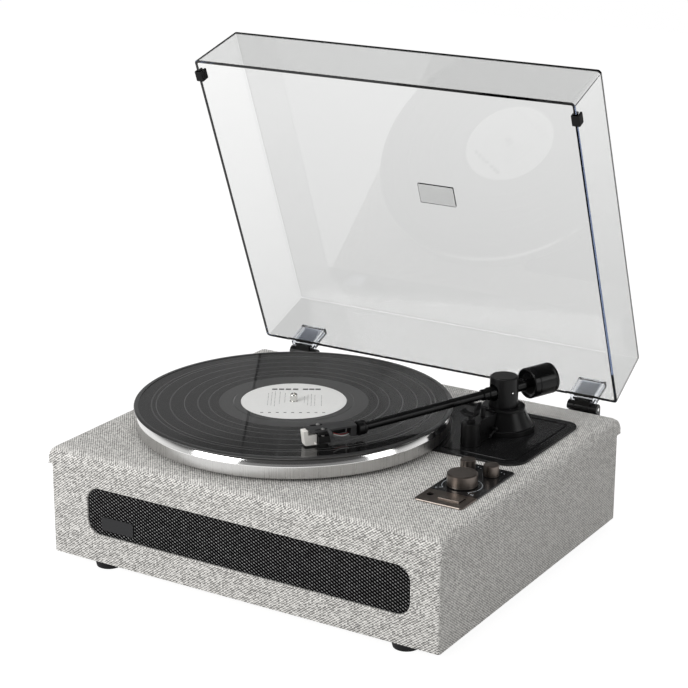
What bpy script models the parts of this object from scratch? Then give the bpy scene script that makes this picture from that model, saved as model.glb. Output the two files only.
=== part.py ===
"""Record player with a fabric-wrapped plinth, clear dust cover and straight tonearm.

Metres, +Z up, +X to the right along the front, +Y to the back. The origin is on the floor,
under the middle of the whole player's box with its dust cover standing open.
"""
from math import acos, atan2, cos, pi, radians, sin, sqrt, tan

import bmesh
import bpy
from mathutils import Matrix, Vector

# Driving dimensions
PLATTER_RADIUS = 0.1486
LEFT_OF_PLATTER = 0.0104
RIGHT_OF_PLATTER = 0.1044
BEFORE_PLATTER = 0.0184
BEHIND_PLATTER = 0.0344
PLINTH_HEIGHT = 0.088
FOOT_HEIGHT = 0.008
TOP_THICKNESS = 0.016
TOP_OVERHANG = 0.003
PLATTER_THICKNESS = 0.0179
RECORD_BEYOND_PLATTER = 0.0022
RECORD_THICKNESS = 0.0017
PIVOT_FROM_PLATTER = 0.04917
PIVOT_BEARING = radians(28.38)
ARM_HEIGHT = 0.0397
ARM_LENGTH = 0.166
ARM_TUBE_RADIUS = 0.0042
ARM_PLAN_ANGLE = radians(25.2)
ARM_SLOPE = radians(2.0)
ARM_REST_SWING = radians(20.6)
HEADSHELL_OFFSET = radians(11.5)
CONTROL_WIDTH = 0.0475
CONTROL_LENGTH = 0.1005
CONTROL_FROM_RIGHT = 0.04025
CONTROL_FROM_FRONT = 0.11475
COVER_HEIGHT = 0.0657
COVER_SIDE_INSET = 0.00365
COVER_FRONT_INSET = 0.01045
COVER_REAR_INSET = 0.00495
COVER_WALL = 0.003
COVER_DRAFT = 0.0042
COVER_OPEN = radians(68.7)
HINGE_BEHIND_PLINTH = 0.007
HINGE_ABOVE_DECK = 0.0007

# Clearances shared by every piece
GAP = 0.0003
OVERRUN = 0.002
MERGE = 0.000005
HALF = 0.5

# Places and heights worked out from the driving dimensions
PLINTH_WIDTH = LEFT_OF_PLATTER + 2 * PLATTER_RADIUS + RIGHT_OF_PLATTER
PLINTH_DEPTH = BEFORE_PLATTER + 2 * PLATTER_RADIUS + BEHIND_PLATTER
PLATTER_X = LEFT_OF_PLATTER + PLATTER_RADIUS - PLINTH_WIDTH * HALF
PLATTER_Y = BEFORE_PLATTER + PLATTER_RADIUS - PLINTH_DEPTH * HALF
RECORD_RADIUS = PLATTER_RADIUS + RECORD_BEYOND_PLATTER
COVER_WIDTH = PLINTH_WIDTH - 2 * COVER_SIDE_INSET
COVER_DEPTH = PLINTH_DEPTH - COVER_FRONT_INSET - COVER_REAR_INSET
PIVOT_X = PLATTER_X + (PLATTER_RADIUS + PIVOT_FROM_PLATTER) * cos(PIVOT_BEARING)
PIVOT_Y = PLATTER_Y + (PLATTER_RADIUS + PIVOT_FROM_PLATTER) * sin(PIVOT_BEARING)
CONTROL_X = PLINTH_WIDTH * HALF - CONTROL_FROM_RIGHT
CONTROL_Y = CONTROL_FROM_FRONT - PLINTH_DEPTH * HALF
PLINTH_TOP = FOOT_HEIGHT + PLINTH_HEIGHT
DECK_BOTTOM = PLINTH_TOP + GAP
DECK_TOP = DECK_BOTTOM + TOP_THICKNESS
HINGE_Y = PLINTH_DEPTH * HALF + HINGE_BEHIND_PLINTH
HINGE_Z = DECK_TOP + HINGE_ABOVE_DECK
ARM_AXIS_Z = DECK_TOP + ARM_HEIGHT
ARM_YAW = -(pi * HALF + ARM_PLAN_ANGLE)
REST_YAW = ARM_YAW + ARM_REST_SWING


# Materials

def material(name, colour, roughness, metallic=0.0, alpha=1.0, transmission=0.0):
    mat = bpy.data.materials.new(name)
    mat.use_nodes = True
    shader = mat.node_tree.nodes["Principled BSDF"]
    shader.inputs["Base Color"].default_value = (*colour, 1.0)
    shader.inputs["Roughness"].default_value = roughness
    shader.inputs["Metallic"].default_value = metallic
    shader.inputs["Alpha"].default_value = alpha
    shader.inputs["Transmission Weight"].default_value = transmission
    return mat


# Mesh helpers

def add(name, bm, mat, parent=None, location=(0, 0, 0), rotation=(0, 0, 0), crease=radians(35)):
    """Turn a bmesh into a named object with its origin at its parent's frame."""
    bmesh.ops.recalc_face_normals(bm, faces=bm.faces)
    mesh = bpy.data.meshes.new(name)
    bm.to_mesh(mesh)
    bm.free()
    mesh.shade_smooth()
    mesh.set_sharp_from_angle(angle=crease)
    mesh.materials.append(mat)
    obj = bpy.data.objects.new(name, mesh)
    bpy.context.scene.collection.objects.link(obj)
    obj.parent = parent
    obj.location = location
    obj.rotation_euler = rotation
    return obj


def empty(name, parent=None, location=(0, 0, 0), rotation=(0, 0, 0)):
    obj = bpy.data.objects.new(name, None)
    bpy.context.scene.collection.objects.link(obj)
    obj.parent = parent
    obj.location = location
    obj.rotation_euler = rotation
    return obj


def cut(target, bm, parent=None, location=(0, 0, 0), rotation=(0, 0, 0)):
    """Take a shape away from an object with a Boolean modifier."""
    number = len(target.modifiers) + 1
    cutter = add(f"{target.name}_cutter_{number}", bm, target.data.materials[0], parent,
                 location, rotation)
    cutter.hide_render = True
    cutter.display_type = "WIRE"
    modifier = target.modifiers.new(f"cut_{number}", "BOOLEAN")
    modifier.operation = "DIFFERENCE"
    modifier.solver = "EXACT"
    modifier.object = cutter
    return cutter


def join(target, bm, parent=None, location=(0, 0, 0), rotation=(0, 0, 0)):
    """Weld a shape onto an object with a Boolean union."""
    piece = cut(target, bm, parent, location, rotation)
    target.modifiers[-1].operation = "UNION"
    return piece


def arc(centre, radius, start, end, steps):
    """Points along an arc, both ends included."""
    points = []
    for i in range(steps + 1):
        angle = start + (end - start) * i / steps
        points.append((centre[0] + radius * cos(angle), centre[1] + radius * sin(angle)))
    return points


def filleted(corners, radii, steps=4):
    """A closed outline with each corner rounded to its own radius."""
    points = []
    count = len(corners)
    for i, corner in enumerate(corners):
        here = Vector(corner)
        back = (Vector(corners[i - 1]) - here).normalized()
        ahead = (Vector(corners[(i + 1) % count]) - here).normalized()
        radius = radii[i] if isinstance(radii, (list, tuple)) else radii
        if radius <= 0:
            points.append(corner)
            continue
        half = back.angle(ahead) * HALF
        centre = here + (back + ahead).normalized() * (radius / sin(half))
        first = here + back * (radius / tan(half)) - centre
        last = here + ahead * (radius / tan(half)) - centre
        start = atan2(first.y, first.x)
        sweep = (atan2(last.y, last.x) - start + pi) % (2 * pi) - pi
        points += arc(centre, radius, start, start + sweep, steps)
    return points


def rectangle(width, depth, centre=(0, 0)):
    x, y = width * HALF, depth * HALF
    return [(centre[0] + sx * x, centre[1] + sy * y) for sx, sy in ((-1, -1), (1, -1), (1, 1), (-1, 1))]


def rounded_rectangle(width, depth, radius, centre=(0, 0), steps=4):
    return filleted(rectangle(width, depth, centre), radius, steps)


def circle(radius, steps=24, centre=(0, 0)):
    return arc(centre, radius, 0, 2 * pi, steps)[:-1]


def prism(outline, low, high, bm=None):
    """An outline extruded from one height to another."""
    bm = bm or bmesh.new()
    face = bm.faces.new([bm.verts.new((x, y, low)) for x, y in outline])
    grown = bmesh.ops.extrude_face_region(bm, geom=[face])
    top = [item for item in grown["geom"] if isinstance(item, bmesh.types.BMVert)]
    bmesh.ops.translate(bm, verts=top, vec=(0, 0, high - low))
    return bm


def lofted(layers, bm=None):
    """A solid through outlines of equal count, each given as (outline, height)."""
    bm = bm or bmesh.new()
    rings = [[bm.verts.new((x, y, z)) for x, y in outline] for outline, z in layers]
    for lower, upper in zip(rings, rings[1:]):
        for i in range(len(lower)):
            k = (i + 1) % len(lower)
            bm.faces.new((lower[i], lower[k], upper[k], upper[i]))
    bm.faces.new(list(reversed(rings[0])))
    bm.faces.new(rings[-1])
    return bm


def band(outer, inner, low, high):
    """A ring-shaped prism between two outlines of equal count."""
    bm = bmesh.new()
    loops = [[bm.verts.new((x, y, z)) for x, y in outline]
             for outline, z in ((outer, low), (outer, high), (inner, high), (inner, low))]
    for i, loop in enumerate(loops):
        following = loops[(i + 1) % len(loops)]
        for a in range(len(loop)):
            b = (a + 1) % len(loop)
            bm.faces.new((loop[a], loop[b], following[b], following[a]))
    return bm


def turned(profile, steps=32, closed=False, bm=None):
    """A profile of (radius, height) turned about Z. A closed profile makes a ring."""
    part = bmesh.new()
    verts = [part.verts.new((r, 0, z)) for r, z in profile]
    pairs = list(zip(verts, verts[1:]))
    if closed:
        pairs.append((verts[-1], verts[0]))
    edges = [part.edges.new(pair) for pair in pairs]
    bmesh.ops.spin(part, geom=verts + edges, cent=(0, 0, 0), axis=(0, 0, 1), dvec=(0, 0, 0),
                   angle=2 * pi, steps=steps, use_merge=True)
    bmesh.ops.remove_doubles(part, verts=part.verts, dist=MERGE)
    bmesh.ops.recalc_face_normals(part, faces=part.faces)
    if bm is None:
        return part
    merge_into(bm, part)
    return bm


def merge_into(bm, part, matrix=Matrix.Identity(4)):
    """Copy one bmesh into another, moved by a matrix."""
    part.verts.ensure_lookup_table()
    made = {v: bm.verts.new(matrix @ v.co) for v in part.verts}
    for face in part.faces:
        bm.faces.new([made[v] for v in face.verts])
    part.free()


def copies(make, matrices):
    """One bmesh holding a copy of a shape at each matrix."""
    bm = bmesh.new()
    for matrix in matrices:
        merge_into(bm, make(), matrix)
    return bm


def shifts(places):
    return [Matrix.Translation(place) for place in places]


def rod(radius, low, high, edge=0.0, steps=20):
    """A round bar along Z with broken edges."""
    if edge <= 0:
        return turned([(0, low), (radius, low), (radius, high), (0, high)], steps)
    return turned([(0, low), (radius - edge, low), (radius, low + edge), (radius, high - edge),
                   (radius - edge, high), (0, high)], steps)


def tube(outer, inner, low, high, edge=0.0, steps=24):
    """A round tube along Z with broken outer edges."""
    if edge <= 0:
        profile = [(inner, low), (outer, low), (outer, high), (inner, high)]
    else:
        profile = [(inner, low), (outer - edge, low), (outer, low + edge), (outer, high - edge),
                   (outer - edge, high), (inner, high)]
    return turned(profile, steps, closed=True)


ALONG_X = (0, pi / 2, 0)
ALONG_Y = (-pi / 2, 0, 0)
ALONG_MINUS_Y = (pi / 2, 0, 0)
SIDEWAYS = (pi / 2, 0, pi / 2)


# Frames that carry the pieces

def cover_corner_when_open(y, z):
    """Where a point of the closed cover lies once the cover stands open, seen from the side."""
    dy, dz = y - HINGE_Y, z - HINGE_Z
    return (HINGE_Y + dy * cos(COVER_OPEN) + dz * sin(COVER_OPEN),
            HINGE_Z - dy * sin(COVER_OPEN) + dz * cos(COVER_OPEN))


COVER_LIFT = 0.0017
COVER_BOTTOM = DECK_TOP + COVER_LIFT
COVER_TOP = COVER_BOTTOM + COVER_HEIGHT
COVER_REAR = PLINTH_DEPTH * HALF - COVER_REAR_INSET
COVER_MIDDLE_Y = COVER_REAR - COVER_DEPTH * HALF
COVER_EDGE = 0.002


def box_back():
    """The rearmost point of the open cover: its rounded rear top edge."""
    outline = cover_edge_profile()
    return max(cover_corner_when_open(COVER_REAR - inset, z)[0] for inset, z in outline)


def cover_edge_profile():
    """Inset and height of the cover's outer wall from the rim over the rounded top edge."""
    steps = 3
    points = [(0, COVER_BOTTOM)]
    for i in range(steps + 1):
        turn = pi * HALF * i / steps
        points.append((COVER_DRAFT + COVER_EDGE * (1 - cos(turn)),
                       COVER_TOP - COVER_EDGE + COVER_EDGE * sin(turn)))
    return points


DECK_FRONT = PLINTH_DEPTH * HALF + TOP_OVERHANG
DECK_Y = (DECK_FRONT - box_back()) * HALF


# Fabric-wrapped plinth: four walls of board with a speaker window in front

PLINTH_WALL = 0.012
PLINTH_CORNER = 0.003
RABBET_DEPTH = 0.006
BOTTOM_THICKNESS = 0.006
WINDOW_FROM_LEFT = 0.04105
WINDOW_FROM_RIGHT = 0.02945
WINDOW_WIDTH = PLINTH_WIDTH - WINDOW_FROM_LEFT - WINDOW_FROM_RIGHT
WINDOW_HEIGHT = 0.0455
WINDOW_CORNER = 0.0135
WINDOW_OFFSET_X = (WINDOW_FROM_LEFT - WINDOW_FROM_RIGHT) * HALF
WINDOW_ABOVE_PLINTH_FOOT = 0.0273
WINDOW_RECESS = 0.0045
WINDOW_LEDGE = 0.004
JACK_PANEL_WIDTH = 0.118
JACK_PANEL_HEIGHT = 0.034
JACK_PANEL_CORNER = 0.003
JACK_PANEL_DEPTH = 0.0025
JACK_PANEL_ABOVE_PLINTH_FOOT = 0.020
JACK_PANEL_LEDGE = 0.005

WINDOW_Z = FOOT_HEIGHT + WINDOW_ABOVE_PLINTH_FOOT + WINDOW_HEIGHT * HALF
JACK_Z = FOOT_HEIGHT + JACK_PANEL_ABOVE_PLINTH_FOOT + JACK_PANEL_HEIGHT * HALF


def window_outline(inset):
    return rounded_rectangle(WINDOW_WIDTH - 2 * inset, WINDOW_HEIGHT - 2 * inset,
                             WINDOW_CORNER - inset, (WINDOW_OFFSET_X, WINDOW_Z), 6)


def jack_outline(inset):
    return rounded_rectangle(JACK_PANEL_WIDTH - 2 * inset, JACK_PANEL_HEIGHT - 2 * inset,
                             JACK_PANEL_CORNER, (0, JACK_Z), 3)


def plinth_body(deck, front, rear, mats):
    outline = rounded_rectangle(PLINTH_WIDTH, PLINTH_DEPTH, PLINTH_CORNER, steps=3)
    body = add("plinth_body", prism(outline, FOOT_HEIGHT, PLINTH_TOP), mats["fabric"], deck)
    inner = rectangle(PLINTH_WIDTH - 2 * PLINTH_WALL, PLINTH_DEPTH - 2 * PLINTH_WALL)
    cut(body, prism(inner, FOOT_HEIGHT - OVERRUN, PLINTH_TOP + OVERRUN), deck)
    rabbet = rectangle(PLINTH_WIDTH - 2 * (PLINTH_WALL - RABBET_DEPTH),
                       PLINTH_DEPTH - 2 * (PLINTH_WALL - RABBET_DEPTH))
    cut(body, prism(rabbet, FOOT_HEIGHT - OVERRUN, FOOT_HEIGHT + BOTTOM_THICKNESS + GAP), deck)
    cut(body, prism(window_outline(0), -WINDOW_RECESS, OVERRUN), front)
    cut(body, prism(window_outline(WINDOW_LEDGE), -PLINTH_WALL - OVERRUN, 0), front)
    cut(body, prism(jack_outline(0), -JACK_PANEL_DEPTH, OVERRUN), rear)
    cut(body, prism(jack_outline(JACK_PANEL_LEDGE), -PLINTH_WALL - OVERRUN, 0), rear)


def bottom_panel(deck, mats):
    inset = PLINTH_WALL - RABBET_DEPTH + GAP
    outline = rectangle(PLINTH_WIDTH - 2 * inset, PLINTH_DEPTH - 2 * inset)
    top = FOOT_HEIGHT + BOTTOM_THICKNESS
    add("bottom_panel", prism(outline, FOOT_HEIGHT, top), mats["board"], deck)


FOOT_RADIUS = 0.0135
FOOT_TAPER = 0.0015
FOOT_EDGE = 0.001
FOOT_FROM_FRONT = 0.0155
FOOT_FROM_SIDE = 0.0465
FOOT_SPAN = PLINTH_WIDTH - 2 * FOOT_FROM_SIDE


def feet(deck, mats):
    """Four rubber feet, one under each corner."""
    for end, sy in (("front", -1), ("back", 1)):
        for side, sx in (("left", -1), ("right", 1)):
            place = (WINDOW_OFFSET_X + sx * FOOT_SPAN * HALF,
                     sy * (PLINTH_DEPTH * HALF - FOOT_FROM_FRONT), 0)
            add(f"foot_{end}_{side}",
                turned([(0, 0), (FOOT_RADIUS - FOOT_TAPER - FOOT_EDGE, 0),
                        (FOOT_RADIUS - FOOT_TAPER, FOOT_EDGE), (FOOT_RADIUS, FOOT_HEIGHT - GAP),
                        (0, FOOT_HEIGHT - GAP)], 16), mats["rubber"], deck, place)


# Speakers behind the cloth-covered grille

GRILLE_THICKNESS = 0.003
BAFFLE_THICKNESS = 0.005
BAFFLE_BORDER = 0.008
SPEAKER_FROM_WINDOW_END = 0.07575
SPEAKER_SPACING = WINDOW_WIDTH - 2 * SPEAKER_FROM_WINDOW_END
SPEAKER_HOLE = 0.0215
SPEAKER_FLANGE = 0.027
SPEAKER_FLANGE_THICKNESS = 0.0022
SPEAKER_SURROUND = 0.0205
SPEAKER_CAP = 0.007
SPEAKER_CONE_DEPTH = 0.0065
SPEAKER_BASKET = 0.0225
SPEAKER_BASKET_DEPTH = 0.014
SPEAKER_MAGNET = 0.0195
SPEAKER_MAGNET_DEPTH = 0.026


def speakers(front, mats):
    back = -WINDOW_RECESS + GAP
    add("speaker_grille", prism(window_outline(GAP), back, back + GRILLE_THICKNESS),
        mats["grille"], front)
    baffle_front = -PLINTH_WALL - GAP
    baffle_back = baffle_front - BAFFLE_THICKNESS
    outline = rectangle(WINDOW_WIDTH + 2 * BAFFLE_BORDER, WINDOW_HEIGHT + 2 * BAFFLE_BORDER,
                        (WINDOW_OFFSET_X, WINDOW_Z))
    baffle = add("speaker_baffle", prism(outline, baffle_back, baffle_front), mats["board"], front)
    places = [(WINDOW_OFFSET_X + side * SPEAKER_SPACING * HALF, WINDOW_Z, 0) for side in (-1, 1)]
    cut(baffle, copies(lambda: rod(SPEAKER_HOLE, baffle_back - OVERRUN, baffle_front + OVERRUN,
                                   steps=24), shifts(places)), front)
    face = baffle_back - GAP
    profile = [(0, face - SPEAKER_CONE_DEPTH * HALF),
               (SPEAKER_CAP, face - SPEAKER_CONE_DEPTH),
               (SPEAKER_SURROUND - SPEAKER_FLANGE_THICKNESS, face - SPEAKER_FLANGE_THICKNESS),
               (SPEAKER_SURROUND - SPEAKER_FLANGE_THICKNESS * HALF, face),
               (SPEAKER_FLANGE, face), (SPEAKER_FLANGE, face - SPEAKER_FLANGE_THICKNESS),
               (SPEAKER_BASKET, face - SPEAKER_FLANGE_THICKNESS),
               (SPEAKER_MAGNET - SPEAKER_FLANGE_THICKNESS, face - SPEAKER_BASKET_DEPTH),
               (SPEAKER_MAGNET, face - SPEAKER_BASKET_DEPTH),
               (SPEAKER_MAGNET, face - SPEAKER_MAGNET_DEPTH), (0, face - SPEAKER_MAGNET_DEPTH)]
    for name, place in zip(("speaker_left", "speaker_right"), places):
        add(name, turned(profile, 20), mats["speaker"], front, place)


# Rear panel with the power inlet and the audio sockets

RCA_SPACING = 0.018
RCA_OFFSET_X = 0.026
RCA_RADIUS = 0.0042
RCA_BORE = 0.0016
RCA_REACH = 0.009
RCA_BLOCK_HEIGHT = 0.012
RCA_CORNER_SHARE = 0.15
RCA_BACK = 0.011
INLET_OFFSET_X = -0.036
INLET_RADIUS = 0.0055
INLET_BORE = 0.0031
INLET_PIN = 0.001
INLET_DEPTH = 0.009
INLET_BACK = 0.012
INLET_REACH = 0.0008


def jacks(rear, mats):
    face = -GAP
    back = -JACK_PANEL_DEPTH + GAP
    panel = add("jack_panel", prism(jack_outline(GAP), back, face), mats["black_plastic"], rear)
    places = [(RCA_OFFSET_X + side * RCA_SPACING * HALF, JACK_Z, 0) for side in (-1, 1)]
    cut(panel, copies(lambda: rod(RCA_RADIUS + GAP, back - OVERRUN, OVERRUN, steps=14),
                      shifts(places)), rear)
    cut(panel, rod(INLET_RADIUS + GAP, back - OVERRUN, OVERRUN, steps=16), rear,
        (INLET_OFFSET_X, JACK_Z, 0))
    block = rounded_rectangle(RCA_SPACING + RCA_BLOCK_HEIGHT, RCA_BLOCK_HEIGHT,
                              RCA_BLOCK_HEIGHT * RCA_CORNER_SHARE, (RCA_OFFSET_X, JACK_Z), 3)
    sockets = add("rca_sockets", prism(block, -RCA_BACK, back - GAP), mats["chrome"], rear)

    def barrel():
        return turned([(0, -RCA_BACK * HALF), (RCA_RADIUS, -RCA_BACK * HALF),
                       (RCA_RADIUS, RCA_REACH), (RCA_BORE, RCA_REACH), (RCA_BORE, 0), (0, 0)], 14)

    join(sockets, copies(barrel, shifts(places)), rear)
    inlet = turned([(0, -INLET_BACK), (INLET_RADIUS, -INLET_BACK), (INLET_RADIUS, INLET_REACH),
                    (INLET_BORE, INLET_REACH), (INLET_BORE, INLET_REACH - INLET_DEPTH),
                    (INLET_PIN, INLET_REACH - INLET_DEPTH), (INLET_PIN, 0), (0, 0)], 16)
    add("power_inlet", inlet, mats["black_plastic"], rear, (INLET_OFFSET_X, JACK_Z, 0))


MAIN_BOARD_WIDTH = 0.130
MAIN_BOARD_DEPTH = 0.080
MAIN_BOARD_THICKNESS = 0.0016
MAIN_BOARD_STANDOFF = 0.008
MAIN_BOARD_FROM_REAR = 0.030
STANDOFF_RADIUS = 0.003
STANDOFF_INSET = 0.006
CAPACITOR_RADIUS = 0.008
CAPACITOR_HEIGHT = 0.022
HEATSINK = (0.040, 0.012, 0.020)


def main_circuit_board(deck, mats):
    low = FOOT_HEIGHT + BOTTOM_THICKNESS + GAP
    board_low = low + MAIN_BOARD_STANDOFF
    y = PLINTH_DEPTH * HALF - PLINTH_WALL - MAIN_BOARD_FROM_REAR - MAIN_BOARD_DEPTH * HALF
    board = add("main_circuit_board",
                prism(rectangle(MAIN_BOARD_WIDTH, MAIN_BOARD_DEPTH, (0, y)), board_low,
                      board_low + MAIN_BOARD_THICKNESS), mats["pcb"], deck)
    x_out = MAIN_BOARD_WIDTH * HALF - STANDOFF_INSET
    y_out = MAIN_BOARD_DEPTH * HALF - STANDOFF_INSET
    places = [(sx * x_out, y + sy * y_out, 0) for sx in (-1, 1) for sy in (-1, 1)]
    join(board, copies(lambda: rod(STANDOFF_RADIUS, low, board_low + MAIN_BOARD_THICKNESS * HALF,
                                   steps=10), shifts(places)), deck)
    above = board_low + MAIN_BOARD_THICKNESS * HALF
    caps = [(sx * x_out * HALF, y, 0) for sx in (-1, 1)]
    join(board, copies(lambda: rod(CAPACITOR_RADIUS, above, above + CAPACITOR_HEIGHT, steps=14),
                       shifts(caps)), deck)
    join(board, prism(rectangle(HEATSINK[0], HEATSINK[1], (0, y + y_out - HEATSINK[1])), above,
                      above + HEATSINK[2]), deck)


# Top board with its rounded edge, cut for the drive, the arm and the controls

TOP_CORNER = 0.006
TOP_EDGE = 0.010
TOP_EDGE_STEPS = 4
TOP_UNDERCUT = 0.001
DRIVE_HOLE_CLEARANCE = 0.002
ARM_HOLE_RADIUS = 0.012


SMALLEST_CORNER_SHARE = 0.12


def top_outline(inset):
    corner = max(TOP_CORNER - inset, TOP_CORNER * SMALLEST_CORNER_SHARE)
    return rounded_rectangle(PLINTH_WIDTH + 2 * (TOP_OVERHANG - inset),
                             PLINTH_DEPTH + 2 * (TOP_OVERHANG - inset), corner, steps=4)


def top_board(deck, platter_axis, motor_axis, mats):
    layers = [(top_outline(TOP_UNDERCUT), DECK_BOTTOM), (top_outline(0), DECK_BOTTOM + TOP_UNDERCUT)]
    for i in range(TOP_EDGE_STEPS + 1):
        turn = pi * HALF * i / TOP_EDGE_STEPS
        layers.append((top_outline(TOP_EDGE * (1 - cos(turn))),
                       DECK_TOP - TOP_EDGE + TOP_EDGE * sin(turn)))
    board = add("top_board", lofted(layers), mats["fabric"], deck)
    low, high = DECK_BOTTOM - OVERRUN, DECK_TOP + OVERRUN
    cut(board, rod(BUSH_RADIUS + GAP, low, high), platter_axis)
    cut(board, rod(PULLEY_RADIUS + DRIVE_HOLE_CLEARANCE, low, high), motor_axis)
    cut(board, rod(ARM_HOLE_RADIUS, low, high), deck, (PIVOT_X, PIVOT_Y, 0))
    width = CONTROL_WIDTH - 2 * CONTROL_POCKET_INSET
    length = CONTROL_LENGTH - 2 * CONTROL_POCKET_INSET
    cut(board, prism(rectangle(width, length, (CONTROL_X, CONTROL_Y)), low, high), deck)


# Drive: motor, pulley, belt and the bearing of the platter

MOTOR_DISTANCE = 0.098
MOTOR_BEARING = radians(140)
MOTOR_RADIUS = 0.017
MOTOR_LENGTH = 0.026
MOTOR_BOSS = 0.004
MOTOR_BOSS_HEIGHT = 0.004
MOTOR_SHAFT = 0.001
MOTOR_EDGE = 0.0015
PULLEY_RADIUS = 0.0055
PULLEY_HEIGHT = 0.0075
PULLEY_CROWN = 0.0003
PULLEY_FLANGE = 0.0008
BELT_HEIGHT = 0.0045
BELT_THICKNESS = 0.0008
HUB_RING_RADIUS = 0.052
HUB_RING_WALL = 0.005
SPINDLE_RADIUS = 0.00355
SPINDLE_ABOVE_RECORD = 0.0077
BUSH_RADIUS = 0.0085
BUSH_FLANGE = 0.016
BUSH_FLANGE_THICKNESS = 0.0025
BUSH_BELOW_DECK = 0.028
BUSH_FLOOR = 0.002
PLATTER_LIFT = 0.0028
HUB_RECESS = 0.0034
PLATTER_BOTTOM = DECK_TOP + PLATTER_LIFT
PLATTER_TOP = PLATTER_BOTTOM + PLATTER_THICKNESS
HUB_BOTTOM = PLATTER_BOTTOM + HUB_RECESS
PLATTER_WEB = 0.006
PLATTER_RIM_WALL = 0.0055
PLATTER_HUB = 0.014
PLATTER_EDGE = 0.0018
PLATTER_GROOVE = 0.0005
PLATTER_SHOULDER = 0.006
BELT_BOTTOM = HUB_BOTTOM + GAP
MOTOR_X = PLATTER_X + MOTOR_DISTANCE * cos(MOTOR_BEARING)
MOTOR_Y = PLATTER_Y + MOTOR_DISTANCE * sin(MOTOR_BEARING)


def motor(motor_axis, mats):
    top = DECK_BOTTOM - GAP
    bottom = top - MOTOR_LENGTH
    boss = top + MOTOR_BOSS_HEIGHT
    shaft = BELT_BOTTOM + PULLEY_HEIGHT - PULLEY_FLANGE
    add("motor", turned([(0, bottom), (MOTOR_RADIUS - MOTOR_EDGE, bottom),
                         (MOTOR_RADIUS, bottom + MOTOR_EDGE), (MOTOR_RADIUS, top - MOTOR_EDGE),
                         (MOTOR_RADIUS - MOTOR_EDGE, top), (MOTOR_BOSS, top), (MOTOR_BOSS, boss),
                         (MOTOR_SHAFT, boss), (MOTOR_SHAFT, shaft), (0, shaft)], 18),
        mats["steel"], motor_axis)


def motor_pulley(pulley_spin, mats):
    low = BELT_BOTTOM - PULLEY_FLANGE
    high = low + PULLEY_HEIGHT
    bore = MOTOR_SHAFT + GAP
    wide = PULLEY_RADIUS + PULLEY_FLANGE
    add("motor_pulley", turned([(bore, low), (wide, low), (PULLEY_RADIUS, low + PULLEY_FLANGE),
                                (PULLEY_RADIUS + PULLEY_CROWN, (low + high) * HALF),
                                (PULLEY_RADIUS, high - PULLEY_FLANGE), (wide, high), (bore, high)],
                               16, closed=True), mats["brass"], pulley_spin)


def belt_loop(offset):
    """The outline of a belt round the hub ring and the pulley, moved out by an offset."""
    big = HUB_RING_RADIUS + GAP + offset
    small = PULLEY_RADIUS + PULLEY_CROWN + GAP + offset
    lean = acos((big - small) / MOTOR_DISTANCE)
    start = MOTOR_BEARING + lean
    points = arc((0, 0), big, start, start + 2 * (pi - lean), 26)
    far = (MOTOR_DISTANCE * cos(MOTOR_BEARING), MOTOR_DISTANCE * sin(MOTOR_BEARING))
    return points + arc(far, small, MOTOR_BEARING - lean, MOTOR_BEARING + lean, 6)


def drive_belt(platter_axis, mats):
    add("drive_belt", band(belt_loop(BELT_THICKNESS), belt_loop(0), BELT_BOTTOM,
                           BELT_BOTTOM + BELT_HEIGHT), mats["rubber"], platter_axis)


def spindle_bearing(platter_axis, mats):
    bottom = DECK_TOP - BUSH_BELOW_DECK
    bore = SPINDLE_RADIUS + GAP
    seat = DECK_TOP + GAP
    top = HUB_BOTTOM - GAP
    add("spindle_bearing",
        turned([(0, bottom), (BUSH_RADIUS, bottom), (BUSH_RADIUS, seat), (BUSH_FLANGE, seat),
                (BUSH_FLANGE, seat + BUSH_FLANGE_THICKNESS),
                (BUSH_RADIUS, seat + BUSH_FLANGE_THICKNESS), (BUSH_RADIUS, top), (bore, top),
                (bore, bottom + BUSH_FLOOR), (0, bottom + BUSH_FLOOR)], 20),
        mats["brass"], platter_axis)


# Platter with its mat, record and spindle

MAT_THICKNESS = 0.001
MAT_INSET = 0.003
RECORD_RIM_WIDTH = 0.0055
RECORD_DISH = 0.00025
LABEL_RADIUS = 0.050
LABEL_THICKNESS = 0.00015
RUNOUT_RADIUS = 0.057
SPINDLE_DOME = 0.0022
MAT_BOTTOM = PLATTER_TOP + GAP
RECORD_BOTTOM = MAT_BOTTOM + MAT_THICKNESS + GAP
RECORD_TOP = RECORD_BOTTOM + RECORD_THICKNESS


def platter(spin, mats):
    bore = SPINDLE_RADIUS + GAP
    web = PLATTER_TOP - PLATTER_WEB
    rim = PLATTER_RADIUS - PLATTER_RIM_WALL
    shoulder = PLATTER_TOP - PLATTER_SHOULDER
    hub_in = HUB_RING_RADIUS - HUB_RING_WALL
    profile = [(bore, HUB_BOTTOM), (PLATTER_HUB, HUB_BOTTOM), (PLATTER_HUB, web), (hub_in, web),
               (hub_in, HUB_BOTTOM), (HUB_RING_RADIUS, HUB_BOTTOM), (HUB_RING_RADIUS, web),
               (rim, web), (rim, PLATTER_BOTTOM), (PLATTER_RADIUS - PLATTER_EDGE, PLATTER_BOTTOM),
               (PLATTER_RADIUS, PLATTER_BOTTOM + PLATTER_EDGE * HALF),
               (PLATTER_RADIUS, shoulder - PLATTER_GROOVE),
               (PLATTER_RADIUS - PLATTER_GROOVE, shoulder),
               (PLATTER_RADIUS, shoulder + PLATTER_GROOVE)]
    for i in range(3):
        turn = pi * HALF * i / 2
        profile.append((PLATTER_RADIUS - PLATTER_EDGE * (1 - cos(turn)),
                        PLATTER_TOP - PLATTER_EDGE + PLATTER_EDGE * sin(turn)))
    profile.append((bore, PLATTER_TOP))
    add("platter", turned(profile, 54, closed=True), mats["aluminium"], spin)


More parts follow.
